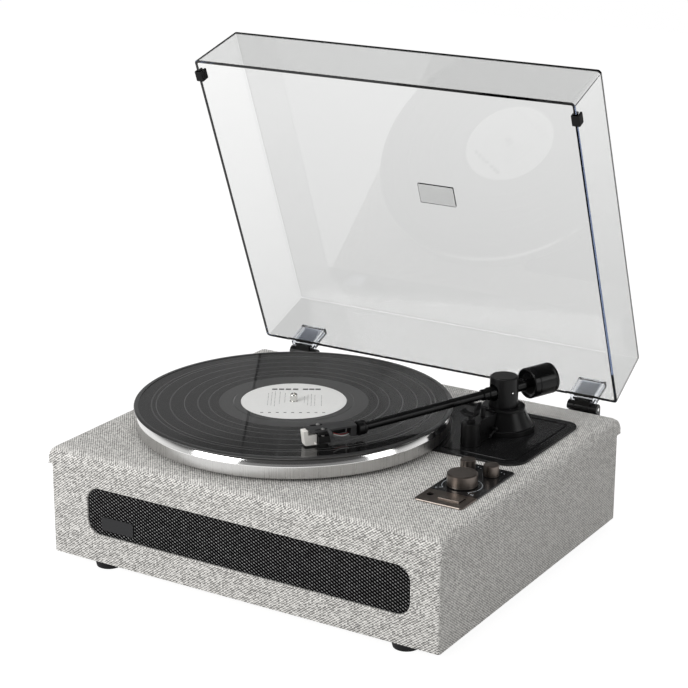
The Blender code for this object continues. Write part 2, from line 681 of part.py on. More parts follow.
def record_and_mat(spin, mats):
    bore = SPINDLE_RADIUS + GAP
    add("slip_mat", turned([(bore, MAT_BOTTOM), (PLATTER_RADIUS - MAT_INSET, MAT_BOTTOM),
                            (PLATTER_RADIUS - MAT_INSET, MAT_BOTTOM + MAT_THICKNESS),
                            (bore, MAT_BOTTOM + MAT_THICKNESS)], 40, closed=True),
        mats["mat"], spin)
    middle = (RECORD_BOTTOM + RECORD_TOP) * HALF
    bevel = RECORD_DISH * 2
    rim = RECORD_RADIUS - RECORD_RIM_WIDTH
    dish = RECORD_TOP - RECORD_DISH
    label = LABEL_RADIUS + GAP
    low_label = RECORD_TOP - GAP - LABEL_THICKNESS
    add("record", turned([(bore, RECORD_BOTTOM), (RECORD_RADIUS - bevel, RECORD_BOTTOM),
                          (RECORD_RADIUS, middle), (RECORD_RADIUS - bevel, RECORD_TOP),
                          (rim + RECORD_DISH, RECORD_TOP), (rim, dish), (RUNOUT_RADIUS, dish),
                          (RUNOUT_RADIUS - RECORD_DISH, RECORD_TOP), (label + GAP, RECORD_TOP),
                          (label, low_label), (bore, low_label)], 60, closed=True),
        mats["vinyl"], spin)
    add("record_label", turned([(bore, RECORD_TOP - LABEL_THICKNESS),
                                (LABEL_RADIUS, RECORD_TOP - LABEL_THICKNESS),
                                (LABEL_RADIUS, RECORD_TOP), (bore, RECORD_TOP)], 40, closed=True),
        mats["paper"], spin)


def spindle(spin, mats):
    bottom = DECK_TOP - BUSH_BELOW_DECK + BUSH_FLOOR + GAP
    top = RECORD_TOP + SPINDLE_ABOVE_RECORD
    profile = [(0, bottom), (SPINDLE_RADIUS, bottom), (SPINDLE_RADIUS, top - SPINDLE_DOME)]
    for i in range(1, 4):
        turn = pi * HALF * i / 3
        profile.append((SPINDLE_RADIUS * cos(turn) if i < 3 else 0,
                        top - SPINDLE_DOME + SPINDLE_DOME * sin(turn)))
    add("spindle", turned(profile, 20), mats["chrome"], spin)


# Tonearm base: glossy plate, round pivot base and the armrest block

ARM_PLATE_LEFT_OF_PIVOT = 0.107
ARM_PLATE_RIGHT_OF_PIVOT = 0.059
ARM_PLATE_BEHIND_CONTROLS = 0.0107
ARM_PLATE_BEHIND_PIVOT = 0.048
ARM_PLATE_LEFT = PIVOT_X - ARM_PLATE_LEFT_OF_PIVOT
ARM_PLATE_RIGHT = PIVOT_X + ARM_PLATE_RIGHT_OF_PIVOT
ARM_PLATE_FRONT = CONTROL_Y + CONTROL_LENGTH * HALF + ARM_PLATE_BEHIND_CONTROLS
ARM_PLATE_BACK = PIVOT_Y + ARM_PLATE_BEHIND_PIVOT
ARM_PLATE_THICKNESS = 0.0018
ARM_PLATE_FRONT_CORNER = 0.020
ARM_PLATE_BACK_CORNER = 0.014
ARM_PLATE_LEFT_CORNER = 0.004
ARM_PLATE_EDGE = 0.0006
ARM_PLATE_BORDER = 0.0085
ARM_PLATE_GROOVE = 0.0016
ARM_PLATE_GROOVE_DEPTH = 0.0008
ARM_PLATE_ARC_CLEARANCE = 0.0024
ARM_PLATE_TOP = DECK_TOP + GAP + ARM_PLATE_THICKNESS
PIVOT_FLANGE = 0.030
PIVOT_FLANGE_THICKNESS = 0.0042
PIVOT_FLANGE_EDGE = 0.001
PIVOT_CONE_BOTTOM = 0.0275
PIVOT_CONE_TOP = 0.0195
PIVOT_CONE_HEIGHT = 0.0155
PIVOT_LIP = 0.0008
PIVOT_LIP_HEIGHT = 0.0025
SWING_SHAFT = 0.006
SWING_SHAFT_LENGTH = 0.014
SWING_SEAT = 0.0010


def arm_plate_outline(inset):
    left, right = ARM_PLATE_LEFT + inset, ARM_PLATE_RIGHT - inset
    front, back = ARM_PLATE_FRONT + inset, ARM_PLATE_BACK - inset
    return filleted([(left, front), (right, front), (right, back), (left, back)],
                    [ARM_PLATE_LEFT_CORNER, ARM_PLATE_FRONT_CORNER - inset,
                     ARM_PLATE_BACK_CORNER - inset, ARM_PLATE_LEFT_CORNER], 6)


def groove_outline(inset):
    """The inner edge of the plate's border: straight on three sides, an arc by the platter."""
    right = ARM_PLATE_RIGHT - ARM_PLATE_BORDER - inset
    front = ARM_PLATE_FRONT + ARM_PLATE_BORDER + inset
    back = ARM_PLATE_BACK - ARM_PLATE_BORDER - inset
    radius = PLATTER_RADIUS + ARM_PLATE_ARC_CLEARANCE + inset
    low = atan2(front - PLATTER_Y, sqrt(radius ** 2 - (front - PLATTER_Y) ** 2))
    high = atan2(back - PLATTER_Y, sqrt(radius ** 2 - (back - PLATTER_Y) ** 2))
    side = arc((PLATTER_X, PLATTER_Y), radius, high, low, 18)
    corners = filleted([side[-1], (right, front), (right, back), side[0]],
                       [0, ARM_PLATE_FRONT_CORNER - ARM_PLATE_BORDER - inset,
                        ARM_PLATE_BACK_CORNER - ARM_PLATE_BORDER - inset, 0], 6)
    return side + corners[1:-1]


def arm_plate(deck, mats):
    low = DECK_TOP + GAP
    layers = [(arm_plate_outline(0), low), (arm_plate_outline(0), ARM_PLATE_TOP - ARM_PLATE_EDGE),
              (arm_plate_outline(ARM_PLATE_EDGE), ARM_PLATE_TOP)]
    plate = add("arm_plate", lofted(layers), mats["gloss_black"], deck)
    cut(plate, band(groove_outline(0), groove_outline(ARM_PLATE_GROOVE),
                    ARM_PLATE_TOP - ARM_PLATE_GROOVE_DEPTH, ARM_PLATE_TOP + OVERRUN), deck)


def pivot_base(deck, mats):
    low = ARM_PLATE_TOP + GAP
    flange = low + PIVOT_FLANGE_THICKNESS
    cone = flange + PIVOT_CONE_HEIGHT
    top = cone + PIVOT_LIP_HEIGHT
    shaft_hole = SWING_SHAFT + GAP
    floor = top - SWING_SHAFT_LENGTH - GAP
    profile = [(0, low), (PIVOT_FLANGE, low), (PIVOT_FLANGE, flange - PIVOT_FLANGE_EDGE),
               (PIVOT_FLANGE - PIVOT_FLANGE_EDGE, flange), (PIVOT_CONE_BOTTOM, flange),
               (PIVOT_CONE_TOP, cone), (PIVOT_CONE_TOP + PIVOT_LIP, cone),
               (PIVOT_CONE_TOP + PIVOT_LIP, top - PIVOT_LIP), (PIVOT_CONE_TOP, top),
               (HOUSING_RADIUS + PIVOT_LIP, top), (HOUSING_RADIUS, top - SWING_SEAT),
               (shaft_hole, top - SWING_SEAT), (shaft_hole, floor), (0, floor)]
    base = add("pivot_base", turned(profile, 28), mats["satin_black"], deck, (PIVOT_X, PIVOT_Y, 0))
    return base


REST_DISTANCE = 0.0562
REST_TOWER = 0.0095
REST_TOWER_TAPER = 0.0008
REST_TOWER_HEIGHT = 0.0211
REST_WALL = 0.012
REST_WALL_START = 0.0235
REST_TOP = ARM_PLATE_TOP + GAP + REST_TOWER_HEIGHT
CLIP_POST = 0.0028
CLIP_POST_DEPTH = 0.008
LIFT_DISTANCE = 0.036
LIFT_POST = 0.0022
LIFT_POST_DEPTH = 0.010


def armrest_block(rest_line, mats):
    low = ARM_PLATE_TOP + GAP
    start = PIVOT_FLANGE + GAP
    tower = [(0, low), (REST_TOWER, low), (REST_TOWER - REST_TOWER_TAPER, REST_TOP), (0, REST_TOP)]
    block = add("armrest_block", turned(tower, 28), mats["satin_black"], rest_line,
                (REST_DISTANCE, 0, 0))
    flange_top = low + PIVOT_FLANGE_THICKNESS + GAP
    half = REST_WALL * HALF
    foot = [(start, -half), (REST_DISTANCE, -half), (REST_DISTANCE, half), (start, half)]
    join(block, prism(foot, low, flange_top + GAP), rest_line)
    near = PIVOT_CONE_BOTTOM + PIVOT_LIP
    wall = [(near, flange_top), (REST_DISTANCE, flange_top), (REST_DISTANCE, REST_TOP),
            (PIVOT_CONE_TOP + PIVOT_LIP * 2, REST_TOP)]
    join(block, prism([(x, z) for x, z in wall], -half, half), rest_line, rotation=ALONG_MINUS_Y)
    cut(block, rod(CLIP_POST + GAP, REST_TOP - CLIP_POST_DEPTH, REST_TOP + OVERRUN, steps=12),
        rest_line, (REST_DISTANCE, 0, 0))
    cut(block, rod(LIFT_POST + GAP, REST_TOP - LIFT_POST_DEPTH, REST_TOP + OVERRUN, steps=12),
        rest_line, (LIFT_DISTANCE, 0, 0))


CLIP_LENGTH = 0.007
CLIP_WALL = 0.0022
CLIP_BASE = 0.003
CLIP_LIP = 0.0008
CLIP_HORN = 0.0095
CLIP_FLARE = 0.0016
CLIP_SIDE_GAP = 0.0005


def rest_clip(rest_line, mats):
    """The saddle that holds the tube: a low lip on the record's side and a tall outer horn."""
    tube_bottom = ARM_AXIS_Z - (REST_DISTANCE + CLIP_LENGTH) * sin(ARM_SLOPE) - ARM_TUBE_RADIUS
    lip = tube_bottom - GAP * 2
    seat = lip - CLIP_LIP
    side = ARM_TUBE_RADIUS + CLIP_SIDE_GAP
    out = side + CLIP_WALL
    horn = seat + CLIP_HORN
    outline = [(-out, seat - CLIP_BASE), (out, seat - CLIP_BASE),
               (out + CLIP_FLARE, horn), (out + CLIP_FLARE - CLIP_WALL, horn), (side, seat + CLIP_HORN * HALF),
               (side, seat), (-side, seat), (-side, lip), (-out, lip)]
    half = CLIP_LENGTH * HALF
    clip = add("rest_clip", prism(outline, -half, half), mats["satin_black"], rest_line,
               (REST_DISTANCE, 0, 0), SIDEWAYS)
    join(clip, rod(CLIP_POST, REST_TOP - CLIP_POST_DEPTH + GAP, seat - CLIP_BASE * HALF, steps=12),
         rest_line, (REST_DISTANCE, 0, 0))


BAR_HALF_WIDTH = 0.002
BAR_THICKNESS = 0.0024
BAR_START = radians(-7)
BAR_END = radians(48)


def lift_bar(rest_line, mats):
    """The curved bar that raises the tube wherever the arm has swung to."""
    tube_bottom = ARM_AXIS_Z - (LIFT_DISTANCE + BAR_HALF_WIDTH) * sin(ARM_SLOPE) - ARM_TUBE_RADIUS
    top = tube_bottom - GAP * 2
    bottom = top - BAR_THICKNESS
    outer = arc((0, 0), LIFT_DISTANCE + BAR_HALF_WIDTH, -BAR_START, -BAR_END, 16)
    inner = arc((0, 0), LIFT_DISTANCE - BAR_HALF_WIDTH, -BAR_END, -BAR_START, 16)
    bar = add("lift_bar", prism(outer + inner, bottom, top), mats["satin_black"], rest_line)
    join(bar, rod(LIFT_POST, REST_TOP - LIFT_POST_DEPTH + GAP, bottom + BAR_THICKNESS * HALF,
                  steps=12), rest_line, (LIFT_DISTANCE, 0, 0))


LEVER_X = 0.0305
LEVER_ABOVE_PLATE = 0.0092
LEVER_AXLE = 0.0012
LEVER_BOSS = 0.0020
LEVER_BOSS_LENGTH = 0.0062
LEVER_REACH = 0.0100
LEVER_DROP = 0.0034
LEVER_BAR = 0.0017
LEVER_THICKNESS = 0.0020
LEVER_TIP = 0.0019
LEVER_SINK = 0.003
LEVER_Z = ARM_PLATE_TOP + LEVER_ABOVE_PLATE


def cue_lever(rest_line, lever_axis, mats):
    """The small lever beside the armrest that works the lift bar."""
    face = REST_WALL * HALF
    block = bpy.data.objects["armrest_block"]
    cut(block, rod(LEVER_AXLE + GAP, face - LEVER_SINK - GAP, face + OVERRUN, steps=12), lever_axis,
        rotation=ALONG_Y)
    near = face + GAP
    far = near + LEVER_BOSS_LENGTH
    lever = add("cue_lever", turned([(0, face - LEVER_SINK), (LEVER_AXLE, face - LEVER_SINK),
                                     (LEVER_AXLE, near), (LEVER_BOSS, near), (LEVER_BOSS, far),
                                     (0, far)], 16), mats["satin_black"], lever_axis,
                rotation=ALONG_Y)
    half = LEVER_BAR * HALF
    arm = [(0, -half), (LEVER_REACH, LEVER_DROP - half), (LEVER_REACH, LEVER_DROP + half), (0, half)]
    join(lever, prism(arm, far - LEVER_THICKNESS, far - GAP), lever_axis, rotation=ALONG_Y)
    join(lever, rod(LEVER_TIP, far - LEVER_THICKNESS - GAP, far + GAP, GAP, steps=14), lever_axis,
         (LEVER_REACH, 0, -LEVER_DROP), ALONG_Y)


# Tonearm: swivelling housing, gimbal sleeve, tube, headshell and counterweight

HOUSING_RADIUS = 0.0135
HOUSING_EDGE = 0.0009
HOUSING_CAP_INSET = 0.0011
HOUSING_CAP_STEP = 0.0005
HOUSING_ABOVE_AXIS = 0.014
SLOT_CLEARANCE = 0.0006
SLEEVE_RADIUS = 0.006
SLEEVE_FRONT = 0.026
SLEEVE_BACK = 0.0225
SLEEVE_EDGE = 0.0006
SLOT_TILT = radians(6.0)
TRUNNION_RADIUS = 0.0011
TRUNNION_REACH = 0.0004
SLOT_ROUND_SHARE = 0.85


def housing_bottom():
    return ARM_PLATE_TOP + GAP + PIVOT_FLANGE_THICKNESS + PIVOT_CONE_HEIGHT + PIVOT_LIP_HEIGHT \
        - SWING_SEAT + GAP


def arm_housing(swing, tilt, mats):
    low = housing_bottom()
    top = ARM_AXIS_Z + HOUSING_ABOVE_AXIS
    shaft = low + SWING_SEAT - GAP - SWING_SHAFT_LENGTH
    inner = HOUSING_RADIUS - HOUSING_CAP_INSET
    profile = [(0, shaft), (SWING_SHAFT, shaft), (SWING_SHAFT, low), (HOUSING_RADIUS - GAP, low),
               (HOUSING_RADIUS, low + SWING_SEAT), (HOUSING_RADIUS, top - HOUSING_EDGE),
               (HOUSING_RADIUS - HOUSING_EDGE * HALF, top - HOUSING_EDGE * HALF),
               (inner, top - HOUSING_CAP_STEP), (inner, top), (0, top)]
    housing = add("arm_housing", turned(profile, 28), mats["satin_black"], swing)
    side = SLEEVE_RADIUS + SLOT_CLEARANCE
    rise = side + HOUSING_RADIUS * tan(SLOT_TILT)
    reach = HOUSING_RADIUS + OVERRUN
    slot = filleted([(-side, -rise), (side, -rise), (side, rise), (-side, rise)], side * SLOT_ROUND_SHARE, 5)
    cut(housing, prism(slot, -reach, reach), tilt, rotation=SIDEWAYS)
    cut(housing, rod(TRUNNION_RADIUS + GAP, -reach, reach, steps=12), tilt, rotation=ALONG_Y)


STUB_RADIUS = 0.004
STUB_END = 0.0520
COLLAR_RADIUS = 0.00675
COLLAR_LENGTH = 0.0087
COLLAR_START = ARM_LENGTH - COLLAR_LENGTH
COLLAR_END = ARM_LENGTH
COLLAR_EDGE = 0.0007
COLLAR_NOSE = 0.003
COLLAR_NOSE_LENGTH = 0.005
TUBE_WALL = 0.0008
TUBE_SINK = 0.004


def arm_sleeve(tilt, mats):
    """The sleeve with its cross pivots, and the stub that the counterweight slides on."""
    profile = [(0, -STUB_END), (STUB_RADIUS, -STUB_END), (STUB_RADIUS, -SLEEVE_BACK - SLEEVE_EDGE),
               (SLEEVE_RADIUS - SLEEVE_EDGE, -SLEEVE_BACK - SLEEVE_EDGE),
               (SLEEVE_RADIUS, -SLEEVE_BACK), (SLEEVE_RADIUS, SLEEVE_FRONT - SLEEVE_EDGE),
               (SLEEVE_RADIUS - SLEEVE_EDGE, SLEEVE_FRONT),
               (ARM_TUBE_RADIUS + GAP, SLEEVE_FRONT),
               (ARM_TUBE_RADIUS + GAP, SLEEVE_FRONT - TUBE_SINK - GAP),
               (0, SLEEVE_FRONT - TUBE_SINK - GAP)]
    sleeve = add("arm_sleeve", turned(profile, 20), mats["satin_black"], tilt, rotation=ALONG_X)
    end = HOUSING_RADIUS + TRUNNION_REACH
    join(sleeve, rod(TRUNNION_RADIUS, -end, end, steps=12), tilt, rotation=ALONG_Y)


def arm_tube(tilt, mats):
    add("arm_tube", tube(ARM_TUBE_RADIUS, ARM_TUBE_RADIUS - TUBE_WALL, SLEEVE_FRONT - TUBE_SINK,
                         COLLAR_START + TUBE_SINK, steps=24), mats["satin_black"], tilt,
        rotation=ALONG_X)
    hole = ARM_TUBE_RADIUS + GAP
    depth = COLLAR_START + TUBE_SINK + GAP
    nose = COLLAR_END + COLLAR_NOSE_LENGTH
    profile = [(0, depth), (hole, depth), (hole, COLLAR_START),
               (COLLAR_RADIUS - COLLAR_EDGE, COLLAR_START),
               (COLLAR_RADIUS, COLLAR_START + COLLAR_EDGE), (COLLAR_RADIUS, COLLAR_END - COLLAR_EDGE),
               (COLLAR_RADIUS - COLLAR_EDGE, COLLAR_END), (COLLAR_NOSE, COLLAR_END),
               (COLLAR_NOSE, nose), (0, nose)]
    add("headshell_collar", turned(profile, 20), mats["black_plastic"], tilt, rotation=ALONG_X)


# Headshell, in its own frame: origin at the collar's end, +X towards the tip, level

SHELL_LENGTH = 0.0470
SHELL_THICKNESS = 0.0016
SHELL_ABOVE_AXIS = 0.0044
SHELL_BACK_WIDTH = 0.0135
SHELL_FRONT_WIDTH = 0.0180
SHELL_TIP_WIDTH = 0.0115
SHELL_WIDE_START_SHARE = 0.57
SHELL_TAPER_START_SHARE = 0.87
SHELL_COLLAR_GAP = 0.0018
SHELL_BOSS_LENGTH = 0.0055
SHELL_BOSS_WIDTH = 0.0105
SHELL_BOSS_DEPTH = 0.0108
SLOT_LENGTH = 0.0120
SLOT_WIDTH = 0.0028
SLOT_SPACING = 0.0127
SLOT_CENTRE_SHARE = 0.766
SLOT_END_SHARE = 0.48
LIFT_WIDTH = 0.004
LIFT_THICKNESS = 0.0009
LIFT_X_SHARE = 0.64
LIFT_REACH = 0.0120
LIFT_DROP = 0.0085
LIFT_STEPS = 7


def finger_lift_outline():
    """Side view of the thin blade that curls out and down from the shell's near edge."""
    edge = SHELL_FRONT_WIDTH * HALF - SHELL_THICKNESS
    top = SHELL_ABOVE_AXIS + SHELL_THICKNESS
    outer, inner = [], []
    for i in range(LIFT_STEPS + 1):
        turn = pi * HALF * i / LIFT_STEPS
        y, z = edge + LIFT_REACH * sin(turn), top - LIFT_DROP * (1 - cos(turn))
        along = Vector((LIFT_REACH * cos(turn), -LIFT_DROP * sin(turn))).normalized()
        outer.append((y, z))
        inner.append((y + along.y * LIFT_THICKNESS, z - along.x * LIFT_THICKNESS))
    return outer + inner[::-1]


def headshell(tilt, shell, mats):
    top = SHELL_ABOVE_AXIS + SHELL_THICKNESS
    back, wide, tip = SHELL_BACK_WIDTH * HALF, SHELL_FRONT_WIDTH * HALF, SHELL_TIP_WIDTH * HALF
    start = SHELL_COLLAR_GAP
    outline = [(start, -back), (SHELL_LENGTH * SHELL_WIDE_START_SHARE, -wide),
               (SHELL_LENGTH * SHELL_TAPER_START_SHARE, -wide), (SHELL_LENGTH, -tip),
               (SHELL_LENGTH, tip), (SHELL_LENGTH * SHELL_TAPER_START_SHARE, wide),
               (SHELL_LENGTH * SHELL_WIDE_START_SHARE, wide), (start, back)]
    head = add("headshell", prism(filleted(outline, SHELL_THICKNESS * HALF, 2), SHELL_ABOVE_AXIS, top),
               mats["grey_metal"], shell)
    half = LIFT_WIDTH * HALF
    lift_x = SHELL_LENGTH * LIFT_X_SHARE
    join(head, prism(finger_lift_outline(), lift_x - half, lift_x + half), shell, rotation=SIDEWAYS)
    half = SHELL_BOSS_WIDTH * HALF
    boss = [(start, -half), (start + SHELL_BOSS_LENGTH, -half), (start + SHELL_BOSS_LENGTH, half),
            (start, half)]
    join(head, prism(boss, top - SHELL_BOSS_DEPTH, top - SHELL_THICKNESS * HALF), shell)
    cut(head, rod(COLLAR_NOSE + GAP, COLLAR_END - OVERRUN, COLLAR_END + COLLAR_NOSE_LENGTH + GAP,
                  steps=16), tilt, rotation=ALONG_X)
    centre = SHELL_LENGTH * SLOT_CENTRE_SHARE
    cutter = bmesh.new()
    for side in (-1, 1):
        slot = rounded_rectangle(SLOT_LENGTH, SLOT_WIDTH, SLOT_WIDTH * SLOT_END_SHARE,
                                 (centre, side * SLOT_SPACING * HALF), 3)
        prism(slot, SHELL_ABOVE_AXIS - OVERRUN, top + OVERRUN, cutter)
    cut(head, cutter, shell)


# Cartridge and stylus under the headshell

CARTRIDGE_START_SHARE = 0.532
CARTRIDGE_START = SHELL_LENGTH * CARTRIDGE_START_SHARE
CARTRIDGE_LENGTH = 0.0138
CARTRIDGE_WIDTH = 0.0160
CARTRIDGE_NECK = 0.0095
CARTRIDGE_EAR = 0.0030
CARTRIDGE_LEDGE = 0.0042
CARTRIDGE_EDGE = 0.0008
CARTRIDGE_ABOVE_RECORD = 0.0027
STYLUS_LENGTH = 0.0130
STYLUS_WIDTH = 0.0080
STYLUS_STEP = 0.0050
STYLUS_STEP_DROP = 0.0037
STYLUS_BEVEL = 0.0007
STYLUS_SLANT = 0.0016
STYLUS_ABOVE_RECORD = 0.0010
CANTILEVER_RADIUS = 0.0004
PEG_RADIUS = 0.0009
PEG_REACH = 0.0026
PIN_RADIUS = 0.0004
PIN_LENGTH = 0.002
PIN_SPREAD = 0.0042
PIN_DROP = 0.0062


def shell_frame_height():
    """Height of the headshell frame's origin above the floor."""
    return ARM_AXIS_Z - COLLAR_END * sin(ARM_SLOPE)


def pin_places():
    """Where the four signal pins leave the back of the cartridge, as (y, z)."""
    low = SHELL_ABOVE_AXIS - PIN_DROP
    return [(side * PIN_SPREAD * HALF, low - row * PIN_SPREAD * HALF)
            for side in (-1, 1) for row in (0, 1)]


def cartridge(shell, mats):
    top = SHELL_ABOVE_AXIS - GAP
    bottom = RECORD_TOP + CARTRIDGE_ABOVE_RECORD - shell_frame_height()
    ear = top - CARTRIDGE_EAR
    ledge = top - CARTRIDGE_LEDGE
    start, end = CARTRIDGE_START, CARTRIDGE_START + CARTRIDGE_LENGTH
    wide, neck = CARTRIDGE_WIDTH * HALF, CARTRIDGE_NECK * HALF
    half = [(wide - CARTRIDGE_EDGE, bottom), (wide, bottom + CARTRIDGE_EDGE),
            (wide, ledge - CARTRIDGE_EDGE), (wide - CARTRIDGE_EDGE, ledge), (neck, ledge),
            (neck, ear), (wide, ear), (wide, top)]
    section = half + [(-y, z) for y, z in half[::-1]]
    body = add("cartridge_body", prism(section, start, end), mats["black_plastic"], shell,
               rotation=SIDEWAYS)
    pins = bmesh.new()
    for y, z in pin_places():
        merge_into(pins, rod(PIN_RADIUS, start - PIN_LENGTH, start + OVERRUN, steps=8),
                   Matrix.Translation((0, y, z)) @ Matrix.Rotation(pi * HALF, 4, "Y"))
    join(body, pins, shell)


def stylus_assembly(shell, mats):
    """The pale stylus block ahead of the cartridge, stepped on top, with its cantilever."""
    front = CARTRIDGE_START + CARTRIDGE_LENGTH + GAP
    tip = front + STYLUS_LENGTH
    bottom = RECORD_TOP + STYLUS_ABOVE_RECORD - shell_frame_height()
    top = SHELL_ABOVE_AXIS + SHELL_THICKNESS * HALF
    step = top - STYLUS_STEP_DROP - SHELL_THICKNESS * HALF
    back_of_step = max(tip - STYLUS_STEP, SHELL_LENGTH + GAP)
    outline = [(front, bottom + STYLUS_BEVEL), (front + STYLUS_BEVEL, bottom),
               (tip - STYLUS_SLANT - STYLUS_BEVEL, bottom), (tip - STYLUS_SLANT, bottom + STYLUS_BEVEL),
               (tip, top - STYLUS_BEVEL), (tip - STYLUS_BEVEL, top), (back_of_step, top),
               (back_of_step, step), (front, step)]
    half = STYLUS_WIDTH * HALF
    block = add("stylus_assembly", prism(outline, -half, half), mats["ivory"], shell,
                rotation=ALONG_MINUS_Y)
    join(block, rod(PEG_RADIUS, 0, half + PEG_REACH, steps=10), shell,
         (front + PEG_RADIUS * 2, 0, bottom + PEG_RADIUS * 2), ALONG_Y)
    needle = turned([(0, -STYLUS_BEVEL), (CANTILEVER_RADIUS, -STYLUS_BEVEL),
                     (CANTILEVER_RADIUS * HALF, STYLUS_ABOVE_RECORD * HALF),
                     (0, STYLUS_ABOVE_RECORD - GAP)], 8)
    join(block, needle, shell, (front + STYLUS_LENGTH * HALF, 0, bottom), (pi, 0, 0))


LEAD_RADIUS = 0.00055
LEAD_SAG = 0.0016
LEAD_STEPS = 9
LEAD_DROP_SHARE = 0.8


def leads(shell, mats):
    """Two thin leads from the shell's boss to the cartridge's upper pins."""
    for name, mat, place in (("lead_red", "red_wire", 0), ("lead_white", "white_wire", 2)):
        y, z = pin_places()[place]
        first = Vector((CARTRIDGE_START - PIN_LENGTH - GAP, y, z))
        last = Vector((SHELL_COLLAR_GAP + SHELL_BOSS_LENGTH + GAP, y * LEAD_DROP_SHARE, z - LEAD_SAG))
        add(name, swept(lead_path(first, last), LEAD_RADIUS, 8), mats[mat], shell)


def lead_path(first, last):
    points = []
    for i in range(LEAD_STEPS + 1):
        share = i / LEAD_STEPS
        ease = share * share * (3 - 2 * share)
        sag = Vector((0, 0, -LEAD_SAG * sin(pi * share)))
        points.append(Vector((first.x + (last.x - first.x) * share, first.y + (last.y - first.y) * ease,
                              first.z + (last.z - first.z) * ease)) + sag)
    return points


def swept(path, radius, sides):
    """A thin round tube along a path that runs mostly along X."""
    bm = bmesh.new()
    rings = []
    for point in path:
        rings.append([bm.verts.new(point + Vector((0, radius * cos(2 * pi * k / sides),
                                                   radius * sin(2 * pi * k / sides))))
                      for k in range(sides)])
    for one, two in zip(rings, rings[1:]):
        for k in range(sides):
            n = (k + 1) % sides
            bm.faces.new((one[k], one[n], two[n], two[k]))
    bm.faces.new(rings[0][::-1])
    bm.faces.new(rings[-1])
    return bm


WEIGHT_RADIUS = 0.0148
WEIGHT_START = 0.0270
WEIGHT_LENGTH = 0.0285
DIAL_LENGTH = 0.0065
WEIGHT_EDGE = 0.0012
DIAL_RECESS = 0.0012
DIAL_FACE_SHARE = 0.8


def counterweight(weight_slide, mats):
    """Turned weight with a dial ring in front, carried on the arm's rear stub."""
    bore = STUB_RADIUS + GAP
    near, far = -WEIGHT_START, -WEIGHT_START - WEIGHT_LENGTH
    dial_back = near - DIAL_LENGTH
    face = WEIGHT_RADIUS * DIAL_FACE_SHARE
    add("force_dial", turned([(bore, dial_back), (WEIGHT_RADIUS, dial_back),
                              (WEIGHT_RADIUS, near - WEIGHT_EDGE), (WEIGHT_RADIUS - WEIGHT_EDGE, near),
                              (face, near), (face - DIAL_RECESS, near - DIAL_RECESS),
                              (bore, near - DIAL_RECESS)], 26, closed=True),
        mats["black_plastic"], weight_slide, rotation=ALONG_X)
    front = dial_back - GAP
    add("counterweight", turned([(bore, front), (WEIGHT_RADIUS, front),
                                 (WEIGHT_RADIUS, far + WEIGHT_EDGE), (WEIGHT_RADIUS - WEIGHT_EDGE, far),
                                 (bore, far)], 26, closed=True), mats["satin_black"],
        weight_slide, rotation=ALONG_X)


# Controls: bronze panel, three knobs, the source key and the headphone socket

CONTROL_THICKNESS = 0.0014
CONTROL_CORNER = 0.0026
CONTROL_EDGE = 0.0006
CONTROL_POCKET_INSET = 0.002
CONTROL_TOP = DECK_TOP + GAP + CONTROL_THICKNESS
VOLUME_LEFT = 0.00175
VOLUME_AHEAD = 0.00225
VOLUME_X = CONTROL_X - VOLUME_LEFT
VOLUME_Y = CONTROL_Y - VOLUME_AHEAD
VOLUME_RADIUS = 0.0137
VOLUME_HEIGHT = 0.0120
VOLUME_EDGE = 0.0011
VOLUME_GROOVE = 0.0003
BASS_LEFT = 0.01475
BASS_BEHIND = 0.03225
TREBLE_RIGHT = 0.00925
TREBLE_BEHIND = 0.03125
TONE_RADIUS = 0.0070
TONE_HEIGHT = 0.0105
TONE_EDGE = 0.0006
TONE_NOTCH = 0.0008
KNOB_BORE_DEPTH = 0.0075
POT_SHAFT = 0.003
POT_BUSH = 0.0042
POT_BODY = 0.0062
POT_BODY_HEIGHT = 0.008
KEY_RIGHT = 0.00525
KEY_AHEAD = 0.03475
KEY_X = CONTROL_X + KEY_RIGHT
KEY_Y = CONTROL_Y - KEY_AHEAD
KEY_LENGTH = 0.0210
KEY_WIDTH = 0.0106
KEY_PROUD = 0.0012
KEY_CORNER = 0.0006
KEY_TRAVEL = 0.0010
KEY_STEM = 0.0024
KEY_SKIRT = 0.0008
SWITCH_SIZE = 0.006
JACK_LEFT = 0.01575
JACK_AHEAD = 0.03445
JACK_X = CONTROL_X - JACK_LEFT
JACK_Y = CONTROL_Y - JACK_AHEAD
JACK_BORE = 0.0033
JACK_RADIUS = 0.0046
BOARD_THICKNESS = 0.0016
BOARD_TOP = DECK_BOTTOM - GAP


def knob_places():
    return [("knob_volume", VOLUME_X, VOLUME_Y),
            ("knob_bass", CONTROL_X - BASS_LEFT, CONTROL_Y + BASS_BEHIND),
            ("knob_treble", CONTROL_X + TREBLE_RIGHT, CONTROL_Y + TREBLE_BEHIND)]


def control_outline(inset):
    width, length = CONTROL_WIDTH - 2 * inset, CONTROL_LENGTH - 2 * inset
    corner = CONTROL_CORNER
    points = []
    for sx, sy in ((-1, -1), (1, -1), (1, 1), (-1, 1)):
        x, y = CONTROL_X + sx * width * HALF, CONTROL_Y + sy * length * HALF
        pair = [(x - sx * corner, y), (x, y - sy * corner)]
        points += pair[::-1] if sx == sy else pair
    return points


